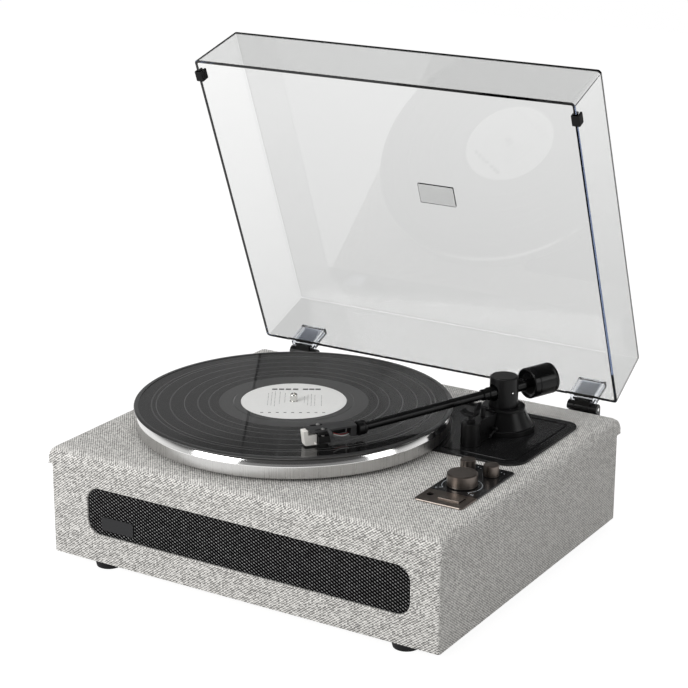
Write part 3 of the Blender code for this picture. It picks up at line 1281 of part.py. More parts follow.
def control_plate(deck, mats):
    low = DECK_TOP + GAP
    plate = add("control_plate", lofted([(control_outline(0), low),
                                         (control_outline(0), CONTROL_TOP - CONTROL_EDGE),
                                         (control_outline(CONTROL_EDGE), CONTROL_TOP)]),
                mats["bronze"], deck)
    cutter = bmesh.new()
    for _, x, y in knob_places():
        merge_into(cutter, rod(POT_BUSH + GAP, low - OVERRUN, CONTROL_TOP + OVERRUN, steps=12),
                   Matrix.Translation((x, y, 0)))
    merge_into(cutter, rod(JACK_BORE, low - OVERRUN, CONTROL_TOP + OVERRUN, steps=20),
               Matrix.Translation((JACK_X, JACK_Y, 0)))
    key = rounded_rectangle(KEY_LENGTH + 2 * GAP, KEY_WIDTH + 2 * GAP, KEY_CORNER, (KEY_X, KEY_Y), 2)
    prism(key, low - OVERRUN, CONTROL_TOP + OVERRUN, cutter)
    cut(plate, cutter, deck)


def knobs(axes, mats):
    low = CONTROL_TOP + GAP
    bore = POT_SHAFT + GAP
    for name, _, _ in knob_places():
        big = name == "knob_volume"
        radius = VOLUME_RADIUS if big else TONE_RADIUS
        height = VOLUME_HEIGHT if big else TONE_HEIGHT
        edge = VOLUME_EDGE if big else TONE_EDGE
        top = low + height
        ring = low + edge * 2
        profile = [(0, low + KNOB_BORE_DEPTH), (bore, low + KNOB_BORE_DEPTH), (bore, low),
                   (radius - edge * HALF, low), (radius, low + edge * HALF), (radius, ring),
                   (radius - VOLUME_GROOVE, ring + VOLUME_GROOVE),
                   (radius, ring + 2 * VOLUME_GROOVE), (radius, top - edge), (radius - edge, top),
                   (0, top)]
        knob = add(name, turned(profile, 28 if big else 20), mats["bronze"], axes[name])
        if not big:
            notch = rectangle(TONE_RADIUS, TONE_NOTCH, (TONE_RADIUS, 0))
            cut(knob, prism(notch, low + height * HALF, top + OVERRUN), axes[name],
                rotation=(0, 0, -pi * HALF))


def control_internals(deck, mats):
    """Board under the panel, carrying three potentiometers and the key's switch, and the jack."""
    inset = CONTROL_POCKET_INSET * HALF
    outline = rectangle(CONTROL_WIDTH - 2 * inset, CONTROL_LENGTH - 2 * inset, (CONTROL_X, CONTROL_Y))
    low = BOARD_TOP - BOARD_THICKNESS
    board = add("control_board", prism(outline, low, BOARD_TOP), mats["pcb"], deck)
    base = BOARD_TOP - BOARD_THICKNESS * HALF
    body = BOARD_TOP + POT_BODY_HEIGHT
    bush = CONTROL_TOP - GAP
    top = CONTROL_TOP + KNOB_BORE_DEPTH

    def pot():
        return turned([(0, base), (POT_BODY, base), (POT_BODY, body), (POT_BUSH, body),
                       (POT_BUSH, bush), (POT_SHAFT, bush), (POT_SHAFT, top), (0, top)], 12)

    join(board, copies(pot, shifts([(x, y, 0) for _, x, y in knob_places()])), deck)
    stem_bottom = CONTROL_TOP - CONTROL_THICKNESS - KEY_SKIRT - KEY_STEM
    join(board, prism(rectangle(SWITCH_SIZE, SWITCH_SIZE, (KEY_X, KEY_Y)), base,
                      stem_bottom - KEY_TRAVEL - GAP), deck)
    add("headphone_jack", tube(JACK_RADIUS, JACK_BORE, BOARD_TOP + GAP, DECK_TOP, steps=20),
        mats["black_plastic"], deck, (JACK_X, JACK_Y, 0))


def mode_key(deck, mats):
    low = CONTROL_TOP - CONTROL_THICKNESS - KEY_SKIRT
    cap = rounded_rectangle(KEY_LENGTH, KEY_WIDTH, KEY_CORNER, (KEY_X, KEY_Y), 2)
    inner = rounded_rectangle(KEY_LENGTH - KEY_CORNER, KEY_WIDTH - KEY_CORNER, KEY_CORNER,
                              (KEY_X, KEY_Y), 2)
    top = CONTROL_TOP + KEY_PROUD
    key = add("mode_key", lofted([(cap, low), (cap, top - KEY_CORNER * HALF), (inner, top)]),
              mats["bronze"], deck)
    stem = rectangle(SWITCH_SIZE * HALF, SWITCH_SIZE * HALF, (KEY_X, KEY_Y))
    join(key, prism(stem, low - KEY_STEM, low + KEY_SKIRT), deck)


# Hinges: bracket on the plinth's back, blade in a clear socket on the cover

HINGE_FROM_LEFT = 0.0488
HINGE_FROM_RIGHT = 0.0408
HINGE_X = (HINGE_FROM_LEFT - PLINTH_WIDTH * HALF, PLINTH_WIDTH * HALF - HINGE_FROM_RIGHT)
HINGE_WIDTH = 0.0315
KNUCKLE_RADIUS = 0.0052
KNUCKLE_SHARE = 0.24
BLADE_WIDTH = 0.0205
BLADE_THICKNESS = 0.0022
BLADE_TOP = 0.023
HINGE_PIN = 0.0018
HINGE_PIN_REACH = 0.0006
BRACKET_THICKNESS = 0.003
BRACKET_DROP = 0.050
BRACKET_STEP = 0.020
BRACKET_NOTCH = 0.0012
BRACKET_NECK_SHARE = 0.12
BLADE_NECK_DROP = 0.0009
SOCKET_WIDTH = 0.0290
SOCKET_HEIGHT = 0.0250
SOCKET_DEPTH = 0.00625
SOCKET_TAPER = 0.0009
BLADE_FROM_WALL = 0.0021


def lug_width():
    return HINGE_WIDTH * KNUCKLE_SHARE


def bracket_profile():
    """The bracket seen from the side, as (y, z) from the hinge axis."""
    wall = -HINGE_BEHIND_PLINTH + GAP
    skin = wall + BRACKET_THICKNESS
    bend = -BRACKET_STEP
    neck = -KNUCKLE_RADIUS * BRACKET_NECK_SHARE
    return [(wall, -BRACKET_DROP), (skin, -BRACKET_DROP), (skin, bend - BRACKET_THICKNESS),
            (KNUCKLE_RADIUS, bend + 2 * BRACKET_THICKNESS)] + \
        arc((0, 0), KNUCKLE_RADIUS, 0, pi, 10) + \
        [(neck, -KNUCKLE_RADIUS), (neck, bend + BRACKET_THICKNESS),
         (wall, bend - BRACKET_THICKNESS * HALF)]


def hinge_bracket(side, x, deck, mats):
    """Black bracket on the plinth's back, stepping out past the top board to two lugs."""
    axis = (x, HINGE_Y, HINGE_Z)
    half = HINGE_WIDTH * HALF
    bracket = add(f"hinge_bracket_{side}", prism(bracket_profile(), -half, half),
                  mats["black_plastic"], deck, axis, SIDEWAYS)
    room = half - lug_width()
    reach = KNUCKLE_RADIUS + BRACKET_NOTCH
    cut(bracket, prism(rectangle(2 * reach, 2 * reach), -room, room), deck, axis, SIDEWAYS)
    cut(bracket, rod(HINGE_PIN + GAP, -half - OVERRUN, half + OVERRUN, steps=12), deck, axis, ALONG_X)


def hinge_blade(side, x, cover, mats):
    """A hub that turns on the pin between the lugs, with a leaf that slides up into the socket."""
    at = (x, 0, 0)
    room = HINGE_WIDTH * HALF - lug_width() - GAP
    half = BLADE_WIDTH * HALF
    face = COVER_REAR + GAP + BLADE_FROM_WALL - HINGE_Y
    back = face + BLADE_THICKNESS
    low = COVER_BOTTOM - HINGE_Z
    blade = add(f"hinge_blade_{side}", prism(circle(KNUCKLE_RADIUS, 20), -room, room),
                mats["black_plastic"], cover, at, SIDEWAYS)
    under = low - HINGE_ABOVE_DECK * HALF
    neck = [(face, low + BLADE_THICKNESS), (face, -BLADE_NECK_DROP),
            (-HINGE_PIN, -KNUCKLE_RADIUS + BLADE_THICKNESS * HALF), (-HINGE_PIN, under),
            (back, under), (back, low + BLADE_THICKNESS)]
    join(blade, prism(neck, -room, room), cover, at, SIDEWAYS)
    leaf = [(face, low), (back, low), (back, low + BLADE_TOP), (face, low + BLADE_TOP)]
    join(blade, prism(leaf, -half, half), cover, at, SIDEWAYS)
    cut(blade, rod(HINGE_PIN + GAP, -room - OVERRUN, room + OVERRUN, steps=12), cover, at, ALONG_X)
    end = HINGE_WIDTH * HALF + HINGE_PIN_REACH
    add(f"hinge_pin_{side}", rod(HINGE_PIN, -end, end, steps=14), mats["steel"], cover, at, ALONG_X)


def wall_inset(height):
    """How far the cover's outer wall has drawn in at a height above its rim."""
    return COVER_DRAFT * height / (COVER_HEIGHT - COVER_EDGE)


def hinge_socket(side, x, cover, mats):
    """Clear pocket on the cover's back wall that the blade's leaf slides into."""
    at = (x, 0, 0)
    low = COVER_BOTTOM - HINGE_Z
    wall = COVER_REAR + GAP - HINGE_Y
    out = COVER_REAR + SOCKET_DEPTH - HINGE_Y
    high = low + SOCKET_HEIGHT
    profile = [(wall, low), (out, low), (out - SOCKET_TAPER, high),
               (wall - wall_inset(SOCKET_HEIGHT), high)]
    half = SOCKET_WIDTH * HALF
    socket = add(f"hinge_socket_{side}", prism(profile, -half, half), mats["clear"], cover, at, SIDEWAYS)
    face = wall + BLADE_FROM_WALL - GAP
    back = face + BLADE_THICKNESS + 2 * GAP
    room = BLADE_WIDTH * HALF + GAP
    top = low + BLADE_TOP + GAP
    cut(socket, prism([(face, low - OVERRUN), (back, low - OVERRUN), (back, top), (face, top)],
                      -room, room), cover, at, SIDEWAYS)


# Clear dust cover, modelled closed about the hinge axis

COVER_CORNER = 0.004
SMALLEST_COVER_CORNER_SHARE = 0.3


def cover_ring(inset, thickness):
    """An outline of the cover drawn in by a draft, and by the wall for the inside."""
    inward = inset + thickness
    corner = max(COVER_CORNER - thickness, COVER_CORNER * SMALLEST_COVER_CORNER_SHARE)
    return rounded_rectangle(COVER_WIDTH - 2 * inward, COVER_DEPTH - 2 * inward, corner,
                             (0, COVER_MIDDLE_Y - HINGE_Y), 4)


def dust_cover(cover, mats):
    outer = [(cover_ring(inset, 0), z - HINGE_Z) for inset, z in cover_edge_profile()]
    inner = [(cover_ring(0, COVER_WALL), COVER_BOTTOM - HINGE_Z),
             (cover_ring(COVER_DRAFT, COVER_WALL), COVER_TOP - COVER_WALL - COVER_EDGE * HALF - HINGE_Z),
             (cover_ring(COVER_DRAFT + COVER_EDGE * HALF, COVER_WALL), COVER_TOP - COVER_WALL - HINGE_Z)]
    bm = bmesh.new()
    rings = [[bm.verts.new((x, y, z)) for x, y in outline] for outline, z in inner[::-1] + outer]
    for lower, upper in zip(rings, rings[1:]):
        for i in range(len(lower)):
            k = (i + 1) % len(lower)
            bm.faces.new((lower[i], lower[k], upper[k], upper[i]))
    bm.faces.new(rings[0])
    bm.faces.new(rings[-1])
    add("dust_cover", bm, mats["clear"], cover)


TAB_WIDTH = 0.040
TAB_DEPTH = 0.0225
TAB_THICKNESS = 0.0022
TAB_CORNER = 0.001
TAB_Y = 0.0034
BUMPER_FROM_FRONT = 0.0180
BUMPER_LENGTH = 0.0125
BUMPER_WALL = 0.0022
BUMPER_HEIGHT = 0.0075
BUMPER_CORNER = 0.0015


def cover_trim(cover, mats):
    """The clear tab on the cover's top, and the rubber bumpers clipped over its side walls."""
    low = COVER_TOP + GAP - HINGE_Z
    tab = rounded_rectangle(TAB_WIDTH, TAB_DEPTH, TAB_CORNER, (0, TAB_Y - HINGE_Y), 2)
    add("cover_tab", prism(tab, low, low + TAB_THICKNESS), mats["clear"], cover)
    rim = COVER_WIDTH * HALF
    bottom = DECK_TOP + GAP - HINGE_Z
    rim_z = COVER_BOTTOM - HINGE_Z
    top = rim_z + BUMPER_HEIGHT
    lean = wall_inset(BUMPER_HEIGHT)
    outer, inner = rim + GAP, rim - COVER_WALL - GAP
    floor = rim_z - GAP
    y = COVER_REAR - COVER_DEPTH + BUMPER_FROM_FRONT - HINGE_Y
    clip = [(inner - BUMPER_WALL, bottom), (outer + BUMPER_WALL, bottom),
            (outer + BUMPER_WALL - lean, top), (outer - lean, top), (outer, floor), (inner, floor),
            (inner - lean, top), (inner - lean - BUMPER_WALL, top)]
    half = BUMPER_LENGTH * HALF
    for side, sign in (("left", -1), ("right", 1)):
        add(f"cover_bumper_{side}", prism([(sign * px, pz) for px, pz in clip], -half, half),
            mats["rubber"], cover, (0, y, 0), ALONG_MINUS_Y)


def palette():
    return {
        "fabric": material("fabric", (0.60, 0.58, 0.55), 0.9),
        "board": material("board", (0.30, 0.22, 0.14), 0.8),
        "rubber": material("rubber", (0.02, 0.02, 0.02), 0.7),
        "grille": material("grille", (0.02, 0.02, 0.022), 0.6),
        "speaker": material("speaker", (0.05, 0.05, 0.05), 0.5),
        "black_plastic": material("black_plastic", (0.02, 0.02, 0.02), 0.4),
        "satin_black": material("satin_black", (0.03, 0.03, 0.03), 0.35),
        "gloss_black": material("gloss_black", (0.02, 0.02, 0.02), 0.15),
        "chrome": material("chrome", (0.8, 0.8, 0.8), 0.15, 1.0),
        "steel": material("steel", (0.6, 0.6, 0.62), 0.3, 1.0),
        "brass": material("brass", (0.7, 0.55, 0.25), 0.3, 1.0),
        "aluminium": material("aluminium", (0.72, 0.72, 0.72), 0.25, 1.0),
        "pcb": material("pcb", (0.05, 0.25, 0.1), 0.5),
        "mat": material("mat", (0.03, 0.03, 0.03), 0.9),
        "vinyl": material("vinyl", (0.015, 0.015, 0.016), 0.2),
        "paper": material("paper", (0.75, 0.75, 0.74), 0.7),
        "grey_metal": material("grey_metal", (0.35, 0.35, 0.35), 0.35, 0.8),
        "ivory": material("ivory", (0.78, 0.75, 0.68), 0.4),
        "red_wire": material("red_wire", (0.5, 0.02, 0.02), 0.4),
        "white_wire": material("white_wire", (0.8, 0.8, 0.8), 0.4),
        "bronze": material("bronze", (0.16, 0.13, 0.115), 0.35, 0.9),
        "clear": material("clear", (0.85, 0.87, 0.9), 0.05, 0.0, 0.3, 0.9),
    }


def build():
    for obj in list(bpy.data.objects):
        bpy.data.objects.remove(obj, do_unlink=True)
    mats = palette()
    deck = empty("deck", location=(0, DECK_Y, 0))
    front = empty("front_face", deck, (0, -PLINTH_DEPTH * HALF, 0), (pi * HALF, 0, 0))
    rear = empty("rear_face", deck, (0, PLINTH_DEPTH * HALF, 0), (pi * HALF, 0, pi))
    platter_spin = empty("platter_spin", deck, (PLATTER_X, PLATTER_Y, 0))
    motor_axis = empty("motor_axis", deck, (MOTOR_X, MOTOR_Y, 0))
    swing = empty("arm_swing", deck, (PIVOT_X, PIVOT_Y, 0), (0, 0, ARM_YAW))
    tilt = empty("arm_tilt", swing, (0, 0, ARM_AXIS_Z), (0, ARM_SLOPE, 0))
    level = empty("headshell_level", tilt, (COLLAR_END, 0, 0), (0, -ARM_SLOPE, 0))
    shell = empty("headshell_frame", level, rotation=(0, 0, -HEADSHELL_OFFSET))
    rest_line = empty("rest_line", deck, (PIVOT_X, PIVOT_Y, 0), (0, 0, REST_YAW))
    lever_axis = empty("lever_axis", rest_line, (LEVER_X, 0, LEVER_Z))
    cover = empty("cover_hinge", deck, (0, HINGE_Y, HINGE_Z), (-COVER_OPEN, 0, 0))

    plinth_body(deck, front, rear, mats)
    bottom_panel(deck, mats)
    feet(deck, mats)
    speakers(front, mats)
    jacks(rear, mats)
    main_circuit_board(deck, mats)
    top_board(deck, platter_spin, motor_axis, mats)
    motor(motor_axis, mats)
    motor_pulley(motor_axis, mats)
    drive_belt(platter_spin, mats)
    spindle_bearing(platter_spin, mats)
    platter(platter_spin, mats)
    record_and_mat(platter_spin, mats)
    spindle(platter_spin, mats)
    arm_plate(deck, mats)
    pivot_base(deck, mats)
    armrest_block(rest_line, mats)
    rest_clip(rest_line, mats)
    lift_bar(rest_line, mats)
    cue_lever(rest_line, lever_axis, mats)
    arm_housing(swing, tilt, mats)
    arm_sleeve(tilt, mats)
    arm_tube(tilt, mats)
    headshell(tilt, shell, mats)
    cartridge(shell, mats)
    stylus_assembly(shell, mats)
    leads(shell, mats)
    counterweight(tilt, mats)
    control_plate(deck, mats)
    axes = {name: empty(f"{name}_axis", deck, (x, y, 0)) for name, x, y in knob_places()}
    knobs(axes, mats)
    control_internals(deck, mats)
    mode_key(deck, mats)
    for side, x in zip(("left", "right"), HINGE_X):
        hinge_bracket(side, x, deck, mats)
        hinge_blade(side, x, cover, mats)
        hinge_socket(side, x, cover, mats)
    dust_cover(cover, mats)
    cover_trim(cover, mats)


build()
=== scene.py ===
from math import cos, pi, radians, sin

import bmesh
import bpy
from mathutils import Matrix, Vector


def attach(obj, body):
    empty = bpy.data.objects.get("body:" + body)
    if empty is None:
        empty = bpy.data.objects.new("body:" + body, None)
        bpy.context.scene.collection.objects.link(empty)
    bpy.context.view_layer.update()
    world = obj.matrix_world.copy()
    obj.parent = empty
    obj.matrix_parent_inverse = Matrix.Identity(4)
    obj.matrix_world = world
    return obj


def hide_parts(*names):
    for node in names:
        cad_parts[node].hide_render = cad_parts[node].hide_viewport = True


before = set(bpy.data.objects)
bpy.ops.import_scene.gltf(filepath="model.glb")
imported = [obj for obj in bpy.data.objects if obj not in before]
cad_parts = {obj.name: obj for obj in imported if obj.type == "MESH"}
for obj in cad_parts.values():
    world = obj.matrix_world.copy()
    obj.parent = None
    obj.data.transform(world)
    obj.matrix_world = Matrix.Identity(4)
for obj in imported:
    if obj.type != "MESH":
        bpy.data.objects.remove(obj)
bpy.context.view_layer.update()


# Camera: a long lens in front of the player and to its right, looking down on the deck, as in
# the photograph.

CAMERA_AT = (0.93359, -1.53704, 0.77008)
CAMERA_ROUND, CAMERA_DOWN, CAMERA_ROLL = 31.674, 17.869, 0.152
LENS, FILM_WIDTH = 105.1, 36


def linked(name, data):
    """A new object in the scene."""
    made = bpy.data.objects.new(name, data)
    bpy.context.scene.collection.objects.link(made)
    return made


def turned(degrees, axis):
    """A turn about an axis."""
    return Matrix.Rotation(radians(degrees), 4, axis)


camera = linked("camera", bpy.data.cameras.new("camera"))
camera.data.lens = LENS
camera.data.sensor_width = FILM_WIDTH
camera.location = CAMERA_AT
camera.rotation_euler = (turned(CAMERA_ROUND, "Z") @ turned(90 - CAMERA_DOWN, "X")
                         @ turned(CAMERA_ROLL, "Z")).to_euler()
bpy.context.scene.camera = camera
bpy.context.scene.view_settings.view_transform = "Standard"


# Studio: a white table and background, a large soft lamp in front, one overhead and a weak one
# on the right. The white shows to the camera and in reflections, and darkens overhead, where a
# studio has its unlit ceiling.

FLOOR_SIZE = 6.0
FLOOR_COLOUR = (0.62, 0.62, 0.62, 1)
FLOOR_AS_SEEN = (0.20, 0.20, 0.20, 1)
FLOOR_GLOW = 0.925
ROOM_LIGHT = 0.40
WHITE = (1, 1, 1, 1)
SKY = ((0.0, 1.0), (0.05, 1.0), (0.16, 0.70), (0.30, 0.23), (0.333, 0.29), (0.343, 0.28),
       (0.350, 0.06), (0.60, 0.08), (1.0, 0.08))
LAMP_AIM = Vector((0, 0, 0.1))


def fill(made, inputs):
    """Feed or fill inputs of a shader node."""
    for key, value in inputs.items():
        value = getattr(value, "socket", value)
        if isinstance(value, bpy.types.NodeSocket):
            made.id_data.links.new(value, made.inputs[key])
        else:
            made.inputs[key].default_value = value
    return made


def node(tree, kind, inputs=None, **settings):
    """Add a shader node, set its options, and feed or fill its inputs."""
    made = tree.nodes.new("ShaderNode" + kind)
    for key, value in settings.items():
        setattr(made, key, value)
    return fill(made, inputs or {})


def sums(tree, operation, *values):
    """The result of one arithmetic node."""
    return Value(node(tree, "Math", dict(enumerate(values)), operation=operation).outputs[0])


class Value:
    """A number in a shader. Sums with it are written as usual, and each adds its own node."""

    def __init__(self, socket):
        self.socket, self.tree = socket, socket.id_data

    def do(self, operation, *others):
        """The result of any other operation on the number."""
        return sums(self.tree, operation, self, *others)

    def __add__(self, other):
        return self.do("ADD", other)

    def __sub__(self, other):
        return self.do("SUBTRACT", other)

    def __rsub__(self, other):
        return sums(self.tree, "SUBTRACT", other, self)

    def __mul__(self, other):
        return self.do("MULTIPLY", other)

    def __truediv__(self, other):
        return self.do("DIVIDE", other)

    def __gt__(self, other):
        return self.do("GREATER_THAN", other)


def axes(tree, kind="Object"):
    """The three numbers of a coordinate."""
    coordinate = node(tree, "TexCoord").outputs[kind]
    return [Value(part) for part in node(tree, "SeparateXYZ", {0: coordinate}).outputs]


def mixed(share, first, second):
    """A colour somewhere between two colours."""
    return node(share.tree, "Mix", {0: share, 6: first, 7: second}, data_type="RGBA").outputs[2]


def shows_background(tree):
    """1 for a ray that comes from the camera, a shiny surface or glass, and 0 for the rest."""
    path = node(tree, "LightPath").outputs
    eye, gloss, glass = (Value(path[f"Is {kind} Ray"])
                         for kind in ("Camera", "Glossy", "Transmission"))
    return eye.do("MAXIMUM", gloss).do("MAXIMUM", glass)


def greys(ramp, stops):
    """Set a colour ramp's stops, each a place and a level of grey."""
    for place, level in stops[1:-1]:
        ramp.elements.new(place).color = (level, level, level, 1)
    for stop, (place, level) in ((ramp.elements[0], stops[0]), (ramp.elements[-1], stops[-1])):
        stop.position, stop.color = place, (level, level, level, 1)


world = bpy.data.worlds.new("studio")
bpy.context.scene.world = world
world.use_nodes = True
tree = world.node_tree
tree.nodes.clear()
fall = node(tree, "ValToRGB", {0: axes(tree, "Generated")[2]})
greys(fall.color_ramp, SKY)
seen = node(tree, "Background", {"Color": fall.outputs[0], "Strength": 1.0})
lit = node(tree, "Background", {"Color": WHITE, "Strength": ROOM_LIGHT})
both = node(tree, "MixShader", {0: shows_background(tree), 1: lit.outputs[0], 2: seen.outputs[0]})
node(tree, "OutputWorld", {"Surface": both.outputs[0]})


def meshed(bm, name="workpiece"):
    """A shape as a mesh."""
    mesh = bpy.data.meshes.new(name)
    bm.to_mesh(mesh)
    bm.free()
    return mesh


bm = bmesh.new()
bmesh.ops.create_grid(bm, x_segments=1, y_segments=1, size=FLOOR_SIZE / 2)
floor = linked("floor", meshed(bm, "floor"))
floor_paint = bpy.data.materials.new("floor_paint")
floor_paint.use_nodes = True
tree = floor_paint.node_tree
tree.nodes.clear()
background = shows_background(tree)
matt = node(tree, "BsdfDiffuse", {"Color": mixed(background, FLOOR_COLOUR, FLOOR_AS_SEEN)})
glow = node(tree, "Emission", {"Color": WHITE, "Strength": background * FLOOR_GLOW})
both = node(tree, "AddShader", {0: matt.outputs[0], 1: glow.outputs[0]})
node(tree, "OutputMaterial", {"Surface": both.outputs[0]})
floor.data.materials.append(floor_paint)

for name, place, width, depth, power in (("front_lamp", (-0.9, -2.0, 1.0), 1.3, 0.9, 30),
                                         ("overhead_lamp", (-0.2, 0.2, 1.9), 1.2, 1.2, 7),
                                         ("side_lamp", (2.0, 0.2, 0.9), 0.8, 0.8, 5)):
    lamp = linked(name, bpy.data.lights.new(name, "AREA"))
    lamp.data.shape = "RECTANGLE"
    lamp.data.size, lamp.data.size_y, lamp.data.energy = width, depth, power
    lamp.location = place
    lamp.rotation_euler = (LAMP_AIM - Vector(place)).to_track_quat("-Z", "Y").to_euler()
    lamp.visible_camera = False


# Plinth: four walls of fibre board wrapped in light grey woven cloth, which is glued on and
# rolled over the edges of the round-cornered speaker window in front. Behind, a recess takes
# the socket panel.

PLINTH_SIZE = (0.412, 0.350)
PLINTH_FOOT, PLINTH_TOP = 0.008, 0.096
PLINTH_WALL = 0.012
PLINTH_CORNER = 0.003
RABBET_IN, RABBET_TOP = 0.006, 0.0143
FRONT = -PLINTH_SIZE[1] / 2
BACK = PLINTH_SIZE[1] / 2
WINDOW_SIZE = (0.3415, 0.0455)
WINDOW_CENTRE = (0.0058, 0.05805)
WINDOW_CORNER = 0.0135
WINDOW_DEPTH = 0.0045
WINDOW_LEDGE = 0.004
WINDOW_ROLL = 0.0012
PANEL_SIZE = (0.118, 0.034)
PANEL_CENTRE = (0, 0.045)
PANEL_DEPTH, PANEL_LEDGE, PANEL_CORNER = 0.0025, 0.005, 0.003
CLOTH_LIGHT = (0.94, 0.922, 0.887, 1)
CLOTH_DARK = (0.16, 0.156, 0.149, 1)
CLOTH_STITCH = (0.00330, 0.00245)
COUNTER_SLANT = 0.42
SLUB_PITCH = (35.0, 420.0)
# How much weaker the weave's contrast is painted on the side faces and on the top, standing in for
# the flatter light that falls there.
SIDE_LIGHT_FLATTENING, TOP_LIGHT_FLATTENING = 0.50, 0.34
NEAR = 1e-5


def moved(x=0.0, y=0.0, z=0.0):
    return Matrix.Translation((x, y, z))


# The frame's origin lies under the middle of the whole player. The open cover reaches out behind,
# so the deck's own middle is a little in front of it.
STRAIGHT = moved()
DECK = moved(y=-0.0298322)
TO_FRONT = moved(y=FRONT) @ turned(90, "X")
TO_BACK = moved(y=BACK) @ turned(180, "Z") @ turned(90, "X")


def oblong(size, centre=(0, 0), grow=0.0):
    """The four corners of an upright rectangle."""
    x, y = size[0] / 2 + grow, size[1] / 2 + grow
    return [(centre[0] + sx * x, centre[1] + sy * y)
            for sx, sy in ((-1, -1), (1, -1), (1, 1), (-1, 1))]


def thicken(bm, grown, thickness):
    """Lift what an extrusion made."""
    top = [item for item in grown["geom"] if isinstance(item, bmesh.types.BMVert)]
    bmesh.ops.translate(bm, verts=top, vec=(0, 0, thickness))


def board(corners, low, high, rounding=0.0, segments=8):
    """A board of any outline, with its upright corners rounded, each to its own radius."""
    bm = bmesh.new()
    verts = [bm.verts.new((x, y, low)) for x, y in corners]
    bm.faces.new(verts)
    radii = rounding if isinstance(rounding, (list, tuple)) else [rounding] * len(verts)
    for vert, radius in zip(verts, radii):
        if radius:
            bmesh.ops.bevel(bm, geom=[vert], offset=radius, offset_type="OFFSET",
                            segments=segments, profile=0.5, affect="VERTICES", material=-1)
    thicken(bm, bmesh.ops.extrude_face_region(bm, geom=bm.faces[:]), high - low)
    bmesh.ops.recalc_face_normals(bm, faces=bm.faces)
    return bm


def finished(item):
    """The shape that an object's modifiers leave, in the object's stead."""
    made = bmesh.new()
    made.from_mesh(item.evaluated_get(bpy.context.evaluated_depsgraph_get()).to_mesh())
    bpy.data.objects.remove(item)
    return made


def carve(bm, cutter, place=STRAIGHT, weld=False):
    """Cut a shape out of another, or weld it on."""
    cutter.transform(place)
    part, tool = (linked("workpiece", meshed(shape)) for shape in (bm, cutter))
    saw = part.modifiers.new("saw", "BOOLEAN")
    saw.operation = "UNION" if weld else "DIFFERENCE"
    saw.solver = "EXACT"
    saw.object = tool
    result = finished(part)
    bpy.data.objects.remove(tool)
    bmesh.ops.remove_doubles(result, verts=result.verts, dist=1e-6)
    return result


def above(height):
    """A test that picks edges from a height upwards."""
    return lambda at: at.z > height - NEAR


def round_off(bm, edges, width, segments):
    bmesh.ops.bevel(bm, geom=edges, offset=width, offset_type="OFFSET", segments=segments,
                    profile=0.5, affect="EDGES", clamp_overlap=True, material=-1)


def soften(bm, width, segments=3, chosen=None, sharper=30):
    """Round off the sharp edges of a shape, or those of them whose middle is chosen."""
    round_off(bm, [edge for edge in bm.edges
                   if len(edge.link_faces) == 2 and edge.calc_face_angle(0) > radians(sharper)
                   and (chosen is None or chosen((edge.verts[0].co + edge.verts[1].co) / 2))],
              width, segments)
    return bm


def put(name, bm, finish, body, nodes=(), place=DECK, crease=34):
    """Set a finished shape in its place as a piece that rides on a body and stands for nodes."""
    bm.transform(place)
    bmesh.ops.recalc_face_normals(bm, faces=bm.faces)
    piece = linked(name, meshed(bm, name))
    piece.data.shade_smooth()
    piece.data.set_sharp_from_angle(angle=radians(crease))
    piece.data.materials.append(finish)
    piece.modifiers.new("even_shading", "WEIGHTED_NORMAL").keep_sharp = True
    if nodes:
        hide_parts(*nodes)
    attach(piece, body)
    return piece


def group_tree(name, inputs, outputs):
    """An empty shader node group, the numbers that come in, and the node that hands them out."""
    tree = bpy.data.node_groups.new(name, "ShaderNodeTree")
    for way, sockets in (("INPUT", inputs), ("OUTPUT", outputs)):
        for socket in sockets:
            kind = "NodeSocketVector" if socket == "Centre" else "NodeSocketFloat"
            tree.interface.new_socket(name=socket, in_out=way, socket_type=kind)
    given = tree.nodes.new("NodeGroupInput").outputs
    return tree, {name: Value(given[name]) for name in inputs}, tree.nodes.new("NodeGroupOutput")


def placed(tree, *values):
    """Three numbers as one coordinate."""
    return node(tree, "CombineXYZ", dict(enumerate(values))).outputs[0]


def noise(at, detail, scale=1.0):
    """Soft noise."""
    made = node(at.id_data, "TexNoise", {"Vector": at, "Scale": scale, "Detail": detail})
    return Value(made.outputs[0])


def chance(at):
    """A random number for each cell."""
    return Value(node(at.id_data, "TexWhiteNoise", {"Vector": at}).outputs["Value"])


def wave(at):
    return (at * (2 * pi)).do("SINE")


def woven_cloth():
    """A twill: light stitches in rows that step half a stitch, on dark, one slant the stronger."""
    tree, given, out = group_tree("woven_cloth", ["Slant", "Fleck", "Slub"], ["Shade", "Relief"])
    at = axes(tree)
    nx, ny, nz = (part.do("ABSOLUTE") for part in axes(tree, "Normal"))
    flat = nz > 0.7
    upright = 1 - flat
    side = (nx > ny) * upright
    front = upright - side
    across = at[0] * front + at[1] * (1 - front)
    up = at[2] * upright + at[0] * flat
    u, v = across / CLOTH_STITCH[0], up / CLOTH_STITCH[1]
    leaning = u * (1 - front * 2)
    ribs = wave(leaning + v)
    twill = ribs * given["Slant"] + wave(leaning - v) * (given["Slant"] * COUNTER_SLANT)
    yarn = chance(placed(tree, (u * 2).do("FLOOR"), (v * 2).do("FLOOR"), side))
    slub = noise(placed(tree, across * SLUB_PITCH[0], up * SLUB_PITCH[1], flat), 2)
    uneven = (yarn - 0.5) * given["Fleck"] + (slub - 0.5) * given["Slub"]
    # Painted light: the weave's contrast is made weaker on the side faces and the top, for the
    # flatter light there.
    painted_light_flattening = 1 - (side * SIDE_LIGHT_FLATTENING + flat * TOP_LIGHT_FLATTENING)
    fill(out, {"Shade": (twill + uneven) * painted_light_flattening + 0.5, "Relief": ribs})
    return tree


WOVEN_CLOTH = woven_cloth()


def blank(name):
    """A new material with its tree and its shader."""
    finish = bpy.data.materials.new(name)
    finish.use_nodes = True
    return finish, finish.node_tree, finish.node_tree.nodes["Principled BSDF"]


